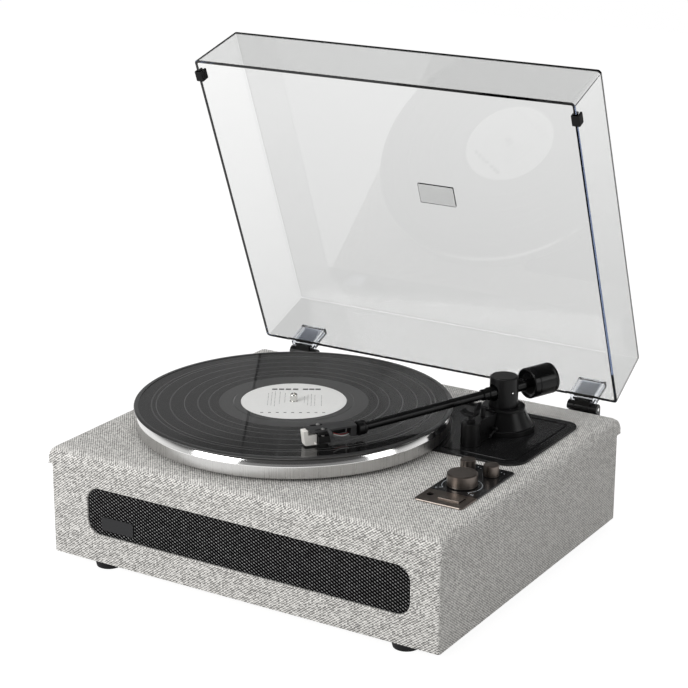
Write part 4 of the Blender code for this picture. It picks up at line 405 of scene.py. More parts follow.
def grouped(tree, group, **values):
    """The numbers that a node group gives in a material, for its own values."""
    made = node(tree, "Group")
    made.node_tree = group
    return {out.name: Value(out) for out in fill(made, values).outputs}


def spread(value, low, high, start=0.0, end=1.0):
    """A value between a start and an end, stretched to run between two others."""
    return Value(node(value.tree, "MapRange", {"Value": value, "From Min": start, "From Max": end,
                                               "To Min": low, "To Max": high}).outputs[0])


def relief(height, depth, strength=1.0):
    """A bump of a given depth."""
    return node(height.tree, "Bump", {"Height": height, "Distance": depth,
                                      "Strength": strength}).outputs[0]


GREY_CLOTH, tree, shader = blank("grey_cloth")
weave = grouped(tree, WOVEN_CLOTH, Slant=0.42, Fleck=0.85, Slub=0.16)
fill(shader, {"Base Color": mixed(weave["Shade"], CLOTH_DARK, CLOTH_LIGHT),
              "Roughness": spread(weave["Shade"], 0.95, 0.75),
              "Normal": relief(weave["Relief"], 0.00006, 0.6),
              "Specular IOR Level": 0.15, "Sheen Weight": 0.12, "Sheen Roughness": 0.5})


def on_wall(wall):
    """A test that picks the edges of the openings in the front or the back."""
    return lambda at: abs(at.y - wall) < 1e-4 and abs(at.x) < 0.19 and 0.02 < at.z < 0.09


walls = board(oblong(PLINTH_SIZE), PLINTH_FOOT, PLINTH_TOP, PLINTH_CORNER)
soften(walls, 0.0009, 3, lambda at: min(abs(at.z - PLINTH_FOOT), abs(at.z - PLINTH_TOP)) < 1e-4)
for inset, top in ((PLINTH_WALL, 0.11), (RABBET_IN, RABBET_TOP)):
    walls = carve(walls, board(oblong(PLINTH_SIZE, grow=-inset), 0, top))
for size, centre, depth, ledge, corner, inner, steps, way in (
        (WINDOW_SIZE, WINDOW_CENTRE, WINDOW_DEPTH, WINDOW_LEDGE, WINDOW_CORNER,
         WINDOW_CORNER - WINDOW_LEDGE, (12, 10), TO_FRONT),
        (PANEL_SIZE, PANEL_CENTRE, PANEL_DEPTH, PANEL_LEDGE, PANEL_CORNER,
         PANEL_CORNER, (5, 5), TO_BACK)):
    walls = carve(walls, board(oblong(size, centre), -depth, 0.002, corner, steps[0]), way)
    walls = carve(walls, board(oblong(size, centre, -ledge), -0.02, 0, inner, steps[1]), way)
walls = soften(walls, WINDOW_ROLL, 4, on_wall(FRONT))
walls = soften(walls, 0.0006, 3, on_wall(BACK))
put("plinth_wrap", walls, GREY_CLOTH, "plinth", ["plinth_body"])


# Speaker grille: a panel covered in black speaker cloth with a pale fleck in every mesh, pushed
# into the window from the front, with a small blank badge plate stuck on it. The baffle and the
# two full-range speakers sit behind it.

GRILLE_BACK, GRILLE_FACE, BADGE_FACE = -0.0042, -0.0012, 0.0
BADGE_SIZE = (0.036, 0.013)
BADGE_CENTRE = (-0.131, 0.048)
MESH_PITCH = (0.00503, 0.00330)


def surface_grain():
    """Noise at two sizes, for finishes that are never quite even."""
    tree, given, out = group_tree("surface_grain", ["Scale"], ["Fine", "Broad"])
    at = node(tree, "TexCoord").outputs["Object"]
    return fill(out, {"Fine": noise(at, 3, given["Scale"]),
                      "Broad": noise(at, 2, given["Scale"] * 0.06)}).id_data


SURFACE_GRAIN = surface_grain()


def shade(share, colour, below, over):
    """A colour that varies between two shares of itself."""
    dark, light = ([min(part * much, 1.0) for part in colour] + [1] for much in (below, over))
    return mixed(share, dark, light)


def grained(name, colour, roughness, metallic=0.0, scale=1200.0, bump=0.00002, uneven=0.25,
            shine=0.5):
    """A moulded, painted or plated finish: one colour that varies a little, and a fine grain."""
    finish, tree, shader = blank(name)
    grain = grouped(tree, SURFACE_GRAIN, Scale=scale)
    both = (grain["Fine"] + grain["Broad"]) * 0.5
    fill(shader, {"Base Color": shade(both, colour, 1 - uneven, 1 + uneven),
                  "Roughness": spread(grain["Broad"], roughness * 0.8, roughness * 1.2),
                  "Normal": relief(grain["Fine"], bump), "Metallic": metallic,
                  "Specular IOR Level": shine})
    return finish


# Pale flecks where two slanting rows of threads cross, each with its own brightness, on black.
SPEAKER_CLOTH, tree, shader = blank("speaker_cloth")
at = axes(tree)
u, v = at[0] / MESH_PITCH[0], at[2] / MESH_PITCH[1]
rows = [wave(slant) * 0.5 + 0.5 for slant in (u + v, u - v)]
fleck = rows[0].do("POWER", 6.0) * rows[1]
shine = fleck * spread(chance(placed(tree, (u + v).do("FLOOR"), (u - v).do("FLOOR"))), 0.5, 1.0)
fill(shader, {"Base Color": mixed(shine, (0.001, 0.001, 0.0011, 1), (0.56, 0.56, 0.56, 1)),
              "Roughness": spread(shine, 0.9, 0.6), "Normal": relief(fleck, 0.0002),
              "Specular IOR Level": 0.02})

BADGE_PLATE = grained("badge_plate", (0.020, 0.020, 0.0215), 0.35, scale=900, shine=0.25)
RAW_BOARD = grained("raw_board", (0.30, 0.22, 0.14), 0.85, scale=700, bump=0.0001, uneven=0.35)
SPEAKER_PAPER = grained("speaker_paper", (0.035, 0.034, 0.033), 0.7, scale=1500, bump=0.0001)

grille = board(oblong(WINDOW_SIZE, WINDOW_CENTRE, -0.0003), GRILLE_BACK, GRILLE_FACE,
               WINDOW_CORNER - 0.0003, 12)
soften(grille, 0.0008, 3, above(GRILLE_FACE))
put("grille_panel", grille, SPEAKER_CLOTH, "plinth", ["speaker_grille"],
    DECK @ TO_FRONT)
badge = board(oblong(BADGE_SIZE, BADGE_CENTRE), GRILLE_FACE, BADGE_FACE, 0.0008, 3)
soften(badge, 0.0003, 2, above(BADGE_FACE))
put("badge_plate", badge, BADGE_PLATE, "plinth", (), DECK @ TO_FRONT)


def dress(finish, *names):
    """Give CAD nodes that stay as they are their finish."""
    for name in names:
        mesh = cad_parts[name].data
        mesh.materials.clear()
        mesh.materials.append(finish)


dress(RAW_BOARD, "speaker_baffle")
dress(SPEAKER_PAPER, "speaker_left", "speaker_right")


# Feet and bottom: four moulded rubber feet, each with a screw up its middle, under a bottom
# panel of fibre board that is screwed into the walls' rabbet.

def mm(*points):
    """Points of an outline, each number in millimetres."""
    return [tuple(side / 1000 for side in point) for point in points]


FOOT_PLACES = [(0.0058 + sx * 0.1595, sy * 0.1595) for sy in (-1, 1) for sx in (-1, 1)]
SCREW_PLACES = [(sx * 0.194, y) for sx in (-1, 1) for y in (-0.12, 0.0, 0.12)]
SCREW_PLACES += [(x, sy * 0.163) for sy in (-1, 1) for x in (-0.10, 0.10)]
FOOT_PROFILE = mm((3.2, 4), (3.2, 0.4), (3.6, 0), (11, 0), (11.8, 0.4), (12.1, 1.2), (13.3, 6.8),
                  (13.5, 7.4), (13.3, 7.7), (0, 7.7), (0, 4))


def lathe(profile, steps=64, closed=False):
    """A profile of (radius, height) turned about the upright axis."""
    bm = bmesh.new()
    verts = [bm.verts.new((r, 0, z)) for r, z in profile]
    edges = [bm.edges.new(pair) for pair in zip(verts, verts[1:] + (verts[:1] if closed else []))]
    bmesh.ops.spin(bm, geom=verts + edges, cent=(0, 0, 0), axis=(0, 0, 1), dvec=(0, 0, 0),
                   angle=radians(360), steps=steps, use_merge=True)
    bmesh.ops.remove_doubles(bm, verts=bm.verts, dist=2e-6)
    bmesh.ops.recalc_face_normals(bm, faces=bm.faces)
    return bm


def rod(radius, low, high, steps=32):
    """An upright solid cylinder."""
    return lathe([(0, low), (radius, low), (radius, high), (0, high)], steps)


def tube(inner, outer, low, high, steps=32):
    """An upright ring with straight walls."""
    return lathe([(inner, low), (outer, low), (outer, high), (inner, high)], steps, closed=True)


def gather(shapes):
    """Several shapes in one, each moved to its place."""
    bm = bmesh.new()
    for shape, place in shapes:
        shape.transform(place)
        mesh = meshed(shape)
        bm.from_mesh(mesh)
        bpy.data.meshes.remove(mesh)
    return bm


def cross_screw(radius, high):
    """A domed screw head with a cross recess, standing on its own base, with a short shank."""
    shank = radius * 0.45
    head = lathe([(0, -0.001), (shank, -0.001), (shank, 0), (radius, 0), (radius, high * 0.25),
                  (radius * 0.8, high * 0.75), (shank, high), (0, high)], 20)
    for turn in (0, 90):
        slot = board(oblong((radius * 1.1, radius * 0.24)), high * 0.35, high * 2)
        head = carve(head, slot, turned(turn, "Z"))
    return head


RUBBER = grained("rubber", (0.009, 0.009, 0.0095), 0.7, scale=1500, bump=0.00004, shine=0.2)
ZINC = grained("zinc_plate", (0.60, 0.60, 0.58), 0.32, 1.0, scale=1500)
feet = [(lathe(FOOT_PROFILE, 40), moved(*place)) for place in FOOT_PLACES]
put("rubber_feet", gather(feet), RUBBER, "plinth",
    ["foot_front_left", "foot_front_right", "foot_back_left", "foot_back_right"])
for name, size, height, places in (("foot_screws", (0.0026, 0.0016), 0.0040, FOOT_PLACES),
                                   ("bottom_screws", (0.0030, 0.0014), 0.0080, SCREW_PLACES)):
    screws = [(cross_screw(*size), moved(x, y, height) @ turned(180, "X")) for x, y in places]
    put(name, gather(screws), ZINC, "plinth")
dress(RAW_BOARD, "bottom_panel")


# Rear sockets: a black moulded panel let into the back wall, with a pair of plated phono
# sockets, one with a red ring and one with a white, and a round power inlet with a centre pin.

SOCKET_AT = [(0.026 + side * 0.009, 0.045) for side in (-1, 1)]
INLET_AT = (-0.036, 0.045)
BLACK_PLASTIC = grained("black_plastic", (0.009, 0.009, 0.009), 0.42, scale=1300, bump=0.00003,
                        shine=0.25)
PLATED = grained("plated_socket", (0.78, 0.77, 0.74), 0.2, 1.0, scale=1500)
RED_RING = grained("red_plastic", (0.42, 0.02, 0.02), 0.4, scale=1300)
WHITE_RING = grained("white_plastic", (0.75, 0.75, 0.73), 0.4, scale=1300)

panel = board(oblong(PANEL_SIZE, PANEL_CENTRE, -0.0003), -0.0022, -0.0003, PANEL_CORNER, 5)
soften(panel, 0.0003, 2, above(-0.0003))
for hole, radius in ((SOCKET_AT[0], 0.0045), (SOCKET_AT[1], 0.0045), (INLET_AT, 0.0058)):
    panel = carve(panel, rod(radius, -0.01, 0.01), moved(*hole))
put("socket_panel", panel, BLACK_PLASTIC, "plinth", ["jack_panel"], DECK @ TO_BACK)
barrel = mm((1.6, -0.2), (1.6, 8.8), (3.6, 8.8), (3.9, 9), (4.2, 8.6), (4.2, 7.2), (4, 6.8),
            (4.2, 6.4), (4.2, -5.5), (0, -5.5), (0, -0.2))
block = board(oblong((0.030, 0.012), (0.026, 0.045)), -0.011, -0.0025, 0.0018, 4)
barrels = [(lathe(barrel, 40), moved(*place)) for place in SOCKET_AT]
put("phono_sockets", gather(barrels + [(block, STRAIGHT)]), PLATED, "plinth",
    ["rca_sockets"], DECK @ TO_BACK)
for name, finish, (x, z) in (("red_insulator", RED_RING, SOCKET_AT[0]),
                             ("white_insulator", WHITE_RING, SOCKET_AT[1])):
    put(name, tube(0.0018, 0.0034, 0.0063, 0.0089), finish, "plinth", (),
        DECK @ TO_BACK @ moved(x, z))
inlet = mm((0, -12), (5.5, -12), (5.5, 0.4), (5.1, 0.8), (3.4, 0.8), (3.1, 0.5), (3.1, -8.2),
           (1, -8.2), (1, -0.6), (0.6, 0), (0, 0))
put("power_socket", lathe(inlet, 40), BLACK_PLASTIC, "plinth", ["power_inlet"],
    DECK @ TO_BACK @ moved(*INLET_AT))
screws = [(cross_screw(0.0022, 0.0012), moved(sx * 0.053, 0.045, -0.0004)) for sx in (-1, 1)]
put("panel_screws", gather(screws), ZINC, "plinth", (), DECK @ TO_BACK)


# Works inside: the amplifier board, the belt motor and its brass pulley, the rubber belt, the
# brass spindle bearing and the controls' board. They don't show until the player is taken apart.

CIRCUIT_BOARD = grained("circuit_board", (0.03, 0.16, 0.06), 0.45, scale=900, uneven=0.4)
MOTOR_CAN = grained("motor_can", (0.55, 0.55, 0.56), 0.35, 1.0, scale=1200)
BRASS = grained("brass", (0.70, 0.52, 0.22), 0.28, 1.0, scale=1200)
dress(CIRCUIT_BOARD, "main_circuit_board", "control_board")
dress(MOTOR_CAN, "motor")
dress(BRASS, "motor_pulley", "spindle_bearing")
dress(RUBBER, "drive_belt")


# Top board: wrapped in the same cloth as the plinth, with a generous roll along its upper edge
# and a fine seam where it meets the walls. It is bored for the spindle, the motor and the arm,
# and cut out under the control plate.

TOP_SIZE = (0.418, 0.356)
TOP_LOW, TOP_HIGH = 0.0963, 0.1123
TOP_ROLL, TOP_CORNER, TOP_UNDER = 0.010, 0.006, 0.001
PLATTER_AT = (-0.047, -0.008)
MOTOR_AT = (PLATTER_AT[0] + 0.098 * cos(radians(140)), PLATTER_AT[1] + 0.098 * sin(radians(140)))
PIVOT_AT = (0.127, 0.086)
CONTROL_AT = (0.16575, -0.06025)

bm = board(oblong(TOP_SIZE), TOP_LOW, TOP_HIGH)
weight = bm.edges.layers.float.new("bevel_weight_edge")
for edge in bm.edges:
    low, high = sorted(vert.co.z for vert in edge.verts)
    radius = TOP_CORNER if low != high else TOP_ROLL if low > TOP_LOW + NEAR else TOP_UNDER
    edge[weight] = radius / TOP_ROLL
blank_board = linked("workpiece", meshed(bm))
roll = blank_board.modifiers.new("roll", "BEVEL")
roll.limit_method, roll.width, roll.segments, roll.profile = "WEIGHT", TOP_ROLL, 10, 0.5
top = finished(blank_board)
for (x, y), radius in ((PLATTER_AT, 0.0088), (MOTOR_AT, 0.0075), (PIVOT_AT, 0.012)):
    top = carve(top, rod(radius, 0.09, 0.12, 40), moved(x, y))
top = carve(top, board(oblong((0.0435, 0.0965), CONTROL_AT), 0.09, 0.12))
put("top_wrap", top, GREY_CLOTH, "plinth", ["top_board"])


# Platter: one turned casting of aluminium with a polished shoulder and a brushed rim, spinning
# on the spindle. A felt mat lies on it.

RIM_BAND = 126.4
PLATTER_RIM = mm((3.85, 118.5), (14, 118.5), (14, 127), (47, 127), (47, 118.5), (52, 118.5),
                 (52, 127), (143.1, 127), (143.1, 115.1), (146.8, 115.1), (147.6, 115.3),
                 (148.4, 115.8), (148.6, 116.6), (148.6, RIM_BAND), (148.25, 127.2), (147.8, 128.5),
                 (147.3, 129.8), (146.7, 131.1), (146, 132.3), (145.3, 133), (3.85, 133))
MAT_EDGE = mm((3.85, 133.3), (145.2, 133.3), (145.6, 133.6), (145.6, 134), (145.2, 134.3),
              (3.85, 134.3))


def from_centre(tree, centre):
    """Where a point lies from an upright axis: its offsets and its distance."""
    at = node(tree, "VectorMath", {0: node(tree, "TexCoord").outputs["Object"], 1: centre},
              operation="SUBTRACT").outputs[0]
    part = [Value(out) for out in node(tree, "SeparateXYZ", {0: at}).outputs]
    return part, (part[0] * part[0] + part[1] * part[1]).do("SQRT")


def turned_rings():
    """Noise that runs in rings round an upright axis, as on a turned or pressed surface."""
    tree, given, out = group_tree("turned_rings", ["Centre", "Rings", "Streaks"],
                                  ["Ring", "Streak"])
    part, radius = from_centre(tree, given["Centre"])
    angle = part[1].do("ARCTAN2", part[0])
    rings, streaks = given["Rings"], given["Streaks"]
    ring = noise(placed(tree, radius * rings, part[2] * rings, angle.do("SINE")), 4)
    streak = noise(placed(tree, angle.do("COSINE") * streaks, angle.do("SINE") * streaks,
                          radius * 20), 2)
    return fill(out, {"Ring": ring, "Streak": streak}).id_data


TURNED_RINGS = turned_rings()


def turned_finish(name, centre, colour, roughness, metallic, rings, bump, uneven=0.2, shine=0.5,
                  streaks=30.0):
    """A finish with turning marks round the axis of one piece."""
    finish, tree, shader = blank(name)
    marks = grouped(tree, TURNED_RINGS, Centre=DECK @ Vector((*centre, 0)), Rings=rings,
                    Streaks=streaks)
    both = marks["Ring"] * 0.65 + marks["Streak"] * 0.35
    fill(shader, {"Base Color": shade(both, colour, 1 - uneven, 1 + uneven),
                  "Roughness": spread(marks["Ring"], roughness * 0.7, roughness * 1.3),
                  "Normal": relief(marks["Ring"], bump), "Metallic": metallic,
                  "Specular IOR Level": shine})
    return finish, tree, shader


# The rim is brushed upright all the way round.
BRUSHED_RIM, tree, shader = blank("brushed_aluminium")
streak = grouped(tree, TURNED_RINGS, Centre=DECK @ Vector((*PLATTER_AT, 0)), Rings=40.0,
                 Streaks=170.0)["Streak"]
fill(shader, {"Base Color": mixed(streak, (0.48, 0.475, 0.466, 1), (0.66, 0.653, 0.64, 1)),
              "Roughness": spread(streak, 0.22, 0.36), "Normal": relief(streak, 0.00001),
              "Metallic": 1.0})

POLISHED = grained("polished_aluminium", (0.76, 0.755, 0.745), 0.11, 1.0, 400, 0.000001,
                   uneven=0.03)
FELT = grained("felt_mat", (0.030, 0.030, 0.030), 0.95, scale=2500, bump=0.0003, uneven=0.5,
               shine=0.2)
AT_PLATTER = DECK @ moved(*PLATTER_AT)
casting = lathe(PLATTER_RIM, 192, closed=True)
for face in casting.faces:
    face.material_index = 1 if face.calc_center_median().z > RIM_BAND / 1000 else 0
casting = put("platter_casting", casting, BRUSHED_RIM, "platter",
              ["platter"], AT_PLATTER, 25)
casting.data.materials.append(POLISHED)
put("felt_mat", lathe(MAT_EDGE, 160, closed=True), FELT, "platter", ["slip_mat"],
    AT_PLATTER)


# Record: a pressed vinyl disc with a thick rim and label area, a finely grooved playing area
# with a smooth band between tracks, and a paper label pressed into its middle.

RECORD_EDGE = mm((3.85, 134.6), (149.6, 134.6), (150.3, 134.75), (150.8, 135.2), (150.8, 135.7),
                 (150.3, 136.15), (149.6, 136.3), (145.8, 136.3), (145.2, 136.05), (57, 136.05),
                 (56.6, 136.3), (50.8, 136.3), (50.3, 135.85), (3.85, 135.85))
TRACK_GAPS = (0.0800, 0.0905, 0.1030, 0.1165, 0.1295, 0.1340)
RUN_OUT, RUN_IN, RECORD_RADIUS = 0.0705, 0.1465, 0.1508
# Grey levels of the smooth run-out, the bands between tracks and the lead-in: a painted sheen,
# lighter than the grooves, that stands in for their brighter reflection.
RUN_OUT_SHEEN, GAP_SHEEN, LEAD_IN_SHEEN = 0.30, 0.95, 0.25
BAND_EDGE, GAP_HALF = 0.0003, 0.0005

VINYL, tree, shader = turned_finish("pressed_vinyl", PLATTER_AT, (0.005, 0.005, 0.005), 0.36, 0.0,
                                    1500.0, 0.000006, 0.35, 0.06)
_, away = from_centre(tree, DECK @ Vector((*PLATTER_AT, 0)))
# The smooth bands are painted lighter grey by their distance from the centre: painted sheen on
# vinyl that is black all over.
painted_sheen_bands = node(tree, "ValToRGB", {0: away / RECORD_RADIUS})
stops = [(0, RUN_OUT_SHEEN), (RUN_OUT, RUN_OUT_SHEEN), (RUN_OUT + BAND_EDGE, 0.0)]
for gap in TRACK_GAPS:
    stops += [(gap - GAP_HALF, 0.0), (gap, GAP_SHEEN), (gap + GAP_HALF, 0.0)]
stops += [(RUN_IN, 0.0), (RUN_IN + BAND_EDGE, LEAD_IN_SHEEN), (RECORD_RADIUS, LEAD_IN_SHEEN)]
greys(painted_sheen_bands.color_ramp, [(place / RECORD_RADIUS, level) for place, level in stops])
grooves = shader.inputs["Base Color"].links[0].from_socket
fill(shader, {"Base Color": mixed(Value(painted_sheen_bands.outputs[0]), grooves, (0.16, 0.16, 0.16, 1)),
              "Coat Weight": 1.0, "Coat Roughness": 0.02, "Anisotropic": 0.8,
              "Tangent": node(tree, "Tangent", direction_type="RADIAL", axis="Z").outputs[0]})
put("pressed_record", lathe(RECORD_EDGE, 192, closed=True), VINYL, "platter", ["record"],
    AT_PLATTER, 25)

LABEL_PAPER = turned_finish("label_paper", PLATTER_AT, (0.86, 0.86, 0.845), 0.75, 0.0, 500.0,
                            0.00001, 0.06, 0.2)[0]
LABEL_INK = grained("label_ink", (0.05, 0.05, 0.05), 0.7, scale=2000)
put("paper_label", tube(0.00385, 0.0500, 0.13615, 0.1363, 128), LABEL_PAPER, "platter",
    ["record_label"], AT_PLATTER)


INK_THICK = 0.00003


def print_on(name, marks, finish, body, place):
    """Printed marks: thin flat slips, each (length, height, x, y, turn)."""
    put(name, gather([(board(oblong((length, high)), 0, INK_THICK), moved(x, y) @ turned(turn, "Z"))
                      for length, high, x, y, turn in marks]), finish, body, (), place)


marks = [(0.0026, 0.0017, -0.0290 + 0.0072 * i, -0.0330, 0) for i in range(9)]
marks += [(0.0050, 0.0036, x, 0.0330, 0)
          for x in (-0.0190, -0.0125, -0.0060, 0.0010, 0.0105, 0.0165, 0.0225)]
for column, start, count in ((-0.0245, 0.020, 9), (-0.0212, 0.023, 10), (-0.0180, 0.025, 11),
                             (-0.0135, 0.024, 9), (-0.0085, 0.020, 7), (0.0100, 0.012, 5),
                             (0.0132, 0.016, 8), (0.0165, 0.018, 9), (0.0198, 0.015, 8),
                             (0.0262, 0.014, 8)):
    marks += [(0.0022, 0.0004, column, start - 0.0039 * i, 90) for i in range(count)]
print_on("label_print", marks, LABEL_INK, "platter",
         AT_PLATTER @ moved(0, 0, 0.1363) @ turned(31.7, "Z"))


# Spindle: a turned and polished steel pin with a rounded tip, standing up through the record.

SPINDLE = mm((0, 86.6), (3.55, 86.6), (3.55, 141.5), (3.4, 142.4), (3, 143.2), (2.2, 143.8),
             (1.2, 143.95), (0, 144))
CHROME = grained("polished_chrome", (0.74, 0.73, 0.71), 0.09, 1.0, scale=1500, bump=0.000003)
spindle = lathe(SPINDLE, 48)
spindle = carve(spindle, tube(0.0031, 0.006, 0.1366, 0.1373, 48))
for turn in (20, 80, 140):
    spindle = carve(spindle, board(oblong((0.009, 0.0007)), 0.1422, 0.15), turned(turn, "Z"))
put("spindle_pin", spindle, CHROME, "platter", ["spindle"], AT_PLATTER)


# Arm base plate: a plate of black lacquered metal with a groove milled round its raised field,
# which follows the platter on that side. It is screwed to the deck from below.

ARM_PLATE = ((0.020, 0.0007), (0.186, 0.134))
ARM_PLATE_LOW, ARM_PLATE_HIGH = 0.1126, 0.1144
ARM_PLATE_CORNERS = (0.004, 0.020, 0.014, 0.004)
FIELD_IN, GROOVE_WIDE, GROOVE_DEEP = 0.0085, 0.0022, 0.0010
FIELD_ARC = 0.1510

LACQUER = grained("black_lacquer", (0.009, 0.009, 0.0093), 0.16, scale=2500, bump=0.0000005,
                  uneven=0.05, shine=0.34)


def corners_of(low, high, grow=0.0):
    """The corners of a rectangle between two opposite ones."""
    size = (high[0] - low[0], high[1] - low[1])
    return oblong(size, ((low[0] + high[0]) / 2, (low[1] + high[1]) / 2), grow)


def plate_field(inset, low, high):
    """The plate's raised field, cut to an arc round the platter."""
    corners = [(x + (0.001 if x < 0.1 else -FIELD_IN - inset),
                y + (FIELD_IN + inset) * (1 if y < 0.1 else -1))
               for x, y in corners_of(*ARM_PLATE)]
    radii = [0, ARM_PLATE_CORNERS[1] - FIELD_IN - inset, ARM_PLATE_CORNERS[2] - FIELD_IN - inset, 0]
    disc = rod(FIELD_ARC + inset, 0.10, 0.13, 240)
    return carve(board(corners, low, high, radii, 8), disc, moved(*PLATTER_AT))


arm_plate = board(corners_of(*ARM_PLATE), ARM_PLATE_LOW, ARM_PLATE_HIGH, ARM_PLATE_CORNERS, 14)
groove = carve(plate_field(0, ARM_PLATE_HIGH - GROOVE_DEEP, ARM_PLATE_HIGH + 0.001),
               plate_field(GROOVE_WIDE, 0.10, 0.13))
arm_plate = carve(arm_plate, groove)
soften(arm_plate, 0.0004, 2, above(ARM_PLATE_HIGH))
put("arm_base_plate", arm_plate, LACQUER, "plinth", ["arm_plate"])


# Pivot base: a turned cone on a broad flange, satin black, with a lipped seat for the housing.
# A block with a tower reaches out from it and carries the armrest, the lift bar and its lever.

PIVOT_CONE = mm((0, 114.7), (30, 114.7), (30, 118.9), (27.5, 118.9), (19.5, 134.4), (20.3, 134.4),
                (20.3, 136.9), (14.3, 136.9), (13.5, 135.9), (6.3, 135.9), (6.3, 122.6), (0, 122.6))
REST_AT, LIFT_AT = 0.0562, 0.0360
TOWER = mm((0, 114.7), (9.5, 114.7), (8.7, 135.8), (0, 135.8))
REST_WALL = [(0.0303, 0.1147), (REST_AT, 0.1147), (REST_AT, 0.1358), (0.0211, 0.1358),
             (0.0283, 0.1192), (0.0303, 0.1192)]
REST_LINE = DECK @ moved(*PIVOT_AT) @ turned(-94.6, "Z")
TO_SIDE = turned(90, "X")
ACROSS = turned(90, "Z") @ turned(90, "X")
SATIN_BLACK = grained("satin_black", (0.006, 0.006, 0.0062), 0.30, scale=1600, bump=0.000012,
                      shine=0.20)

put("pivot_cone", soften(lathe(PIVOT_CONE, 96), 0.0005, 3, above(0.115), 20), SATIN_BLACK, "plinth",
    ["pivot_base"], DECK @ moved(*PIVOT_AT))
block = carve(lathe(TOWER, 64), board([(x - REST_AT, z) for x, z in REST_WALL], -0.006, 0.006),
              TO_SIDE, weld=True)
soften(block, 0.0008, 3, above(0.1355))
for along, radius in ((0, 0.0031), (LIFT_AT - REST_AT, 0.0025)):
    block = carve(block, rod(radius, 0.127, 0.14, 24), moved(along))
put("armrest_tower", block, SATIN_BLACK, "plinth", ["armrest_block"],
    REST_LINE @ moved(REST_AT))


# Armrest clip: a moulded cradle on a post, with a low curled lip towards the record, which the
# tube is lifted over, and a tall straight prong behind it.

CLIP_PATH = mm((-9, 147.4), (-6.2, 144.4), (4.7, 144.4), (4.7, 150), (7, 156.5))
CLIP_POST = mm((0, 128.1), (2.8, 128.1), (2.8, 135.2), (3.6, 136), (3.6, 137.8), (2.6, 138.6),
               (2.4, 143), (0, 143))


def ribbon(path, low, high, thickness, bend=0.0):
    """A strip bent along a path, its bends rounded and its thickness to the right of the path."""
    bm = bmesh.new()
    verts = [bm.verts.new((x, y, low)) for x, y in path]
    edges = [bm.edges.new(pair) for pair in zip(verts, verts[1:])]
    thicken(bm, bmesh.ops.extrude_edge_only(bm, edges=edges), high - low)
    if bend:
        round_off(bm, [edge for edge in bm.edges if len(edge.link_faces) == 2], bend, 5)
    bmesh.ops.solidify(bm, geom=bm.faces[:], thickness=thickness)
    bmesh.ops.recalc_face_normals(bm, faces=bm.faces)
    return bm


clip = ribbon(CLIP_PATH, -0.0038, 0.0038, 0.0024, 0.0018)
soften(clip, 0.0004, 2, sharper=60)
clip.transform(ACROSS)
put("rest_clip_cradle", gather([(clip, STRAIGHT), (lathe(CLIP_POST, 32), STRAIGHT)]), SATIN_BLACK,
    "plinth", ["rest_clip"], REST_LINE @ moved(REST_AT))


# Lift bar and cue lever: a curved bar on a post that raises the tube wherever the arm stands,
# and the small bent lever on the block's side that works it.

BAR_SECTION = mm((34, 143.5), (38, 143.5), (38, 145.9), (34, 145.9))
BAR_FROM, BAR_TO = radians(7), radians(-48)
LEVER_AXIS = (0.0305, 0, 0.1236)
LEVER_END = (0.0100, 0.0034)


def bent_bar(section, start, end, steps):
    """A bar of a given section bent round the upright axis."""
    bm = bmesh.new()
    verts = [bm.verts.new((r * cos(start), r * sin(start), z)) for r, z in section]
    edges = [bm.edges.new(pair) for pair in zip(verts, verts[1:] + verts[:1])]
    bmesh.ops.spin(bm, geom=verts + edges, cent=(0, 0, 0), axis=(0, 0, 1), dvec=(0, 0, 0),
                   angle=end - start, steps=steps)
    bmesh.ops.holes_fill(bm, edges=[edge for edge in bm.edges if edge.is_boundary], sides=0)
    bmesh.ops.recalc_face_normals(bm, faces=bm.faces)
    return bm


bar = soften(bent_bar(BAR_SECTION, BAR_FROM, BAR_TO, 40), 0.0006, 3, sharper=50)
post = rod(0.0022, 0.1262, 0.1445)
put("lift_bar_rail", gather([(bar, STRAIGHT), (post, moved(LIFT_AT))]), SATIN_BLACK, "lift_bar",
    ["lift_bar"], REST_LINE)
boss = soften(lathe(mm((0, 3.1), (1.2, 3.1), (1.2, 6.3), (2, 6.3), (2, 12.5), (0, 12.5)), 32),
              0.0003, 2, above(0.006))
handle = board([(0, -0.0009), (LEVER_END[0], LEVER_END[1] - 0.0007),
                (LEVER_END[0], LEVER_END[1] + 0.0007), (0, 0.0009)], 0.0105, 0.0121)
soften(handle, 0.0003, 2)
tip = lathe(mm((0, 9.8), (0.8, 9.9), (1.5, 10.3), (1.85, 10.8), (1.9, 11.3), (1.85, 11.8),
               (1.5, 12.3), (0.8, 12.7), (0, 12.8)), 32)
put("cue_lever_handle", gather([(boss, STRAIGHT), (handle, STRAIGHT), (tip, moved(*LEVER_END))]),
    SATIN_BLACK, "cue_lever", ["cue_lever"],
    REST_LINE @ moved(*LEVER_AXIS) @ turned(-90, "X"))


# Arm housing: a turned and slotted cylinder that swivels in the pivot base. The arm's sleeve
# passes through it and rocks on two bright screw points.

AXIS_HEIGHT = 0.1520
SWING = DECK @ moved(*PIVOT_AT) @ turned(-115.2, "Z")
TILT = moved(0, 0, AXIS_HEIGHT) @ turned(2, "Y")
HOUSING = mm((0, 122.2), (6, 122.2), (6, 136.2), (13.2, 136.2), (13.5, 136.6), (13.5, 165.1),
             (12.4, 165.5), (12.4, 166), (0, 166))
SLOT_SIZE = (0.0132, 0.0160)
SLOT_CORNER = 0.0056
HOUSING_REACH = 0.0145

housing = soften(lathe(HOUSING, 96), 0.0003, 3, above(0.164), 20)
housing = carve(housing, board(oblong(SLOT_SIZE), -HOUSING_REACH, HOUSING_REACH, SLOT_CORNER, 10),
                TILT @ ACROSS)
pivot_hole = rod(0.0016, -HOUSING_REACH, HOUSING_REACH, 24)
housing = carve(housing, pivot_hole, TILT @ TO_SIDE)
put("arm_turret", housing, SATIN_BLACK, "arm_swivel", ["arm_housing"], SWING)


# Tonearm: sleeve, tube and collar. All are turned from aluminium and anodised black, and the
# tube is pressed into the stepped ends of the other two.

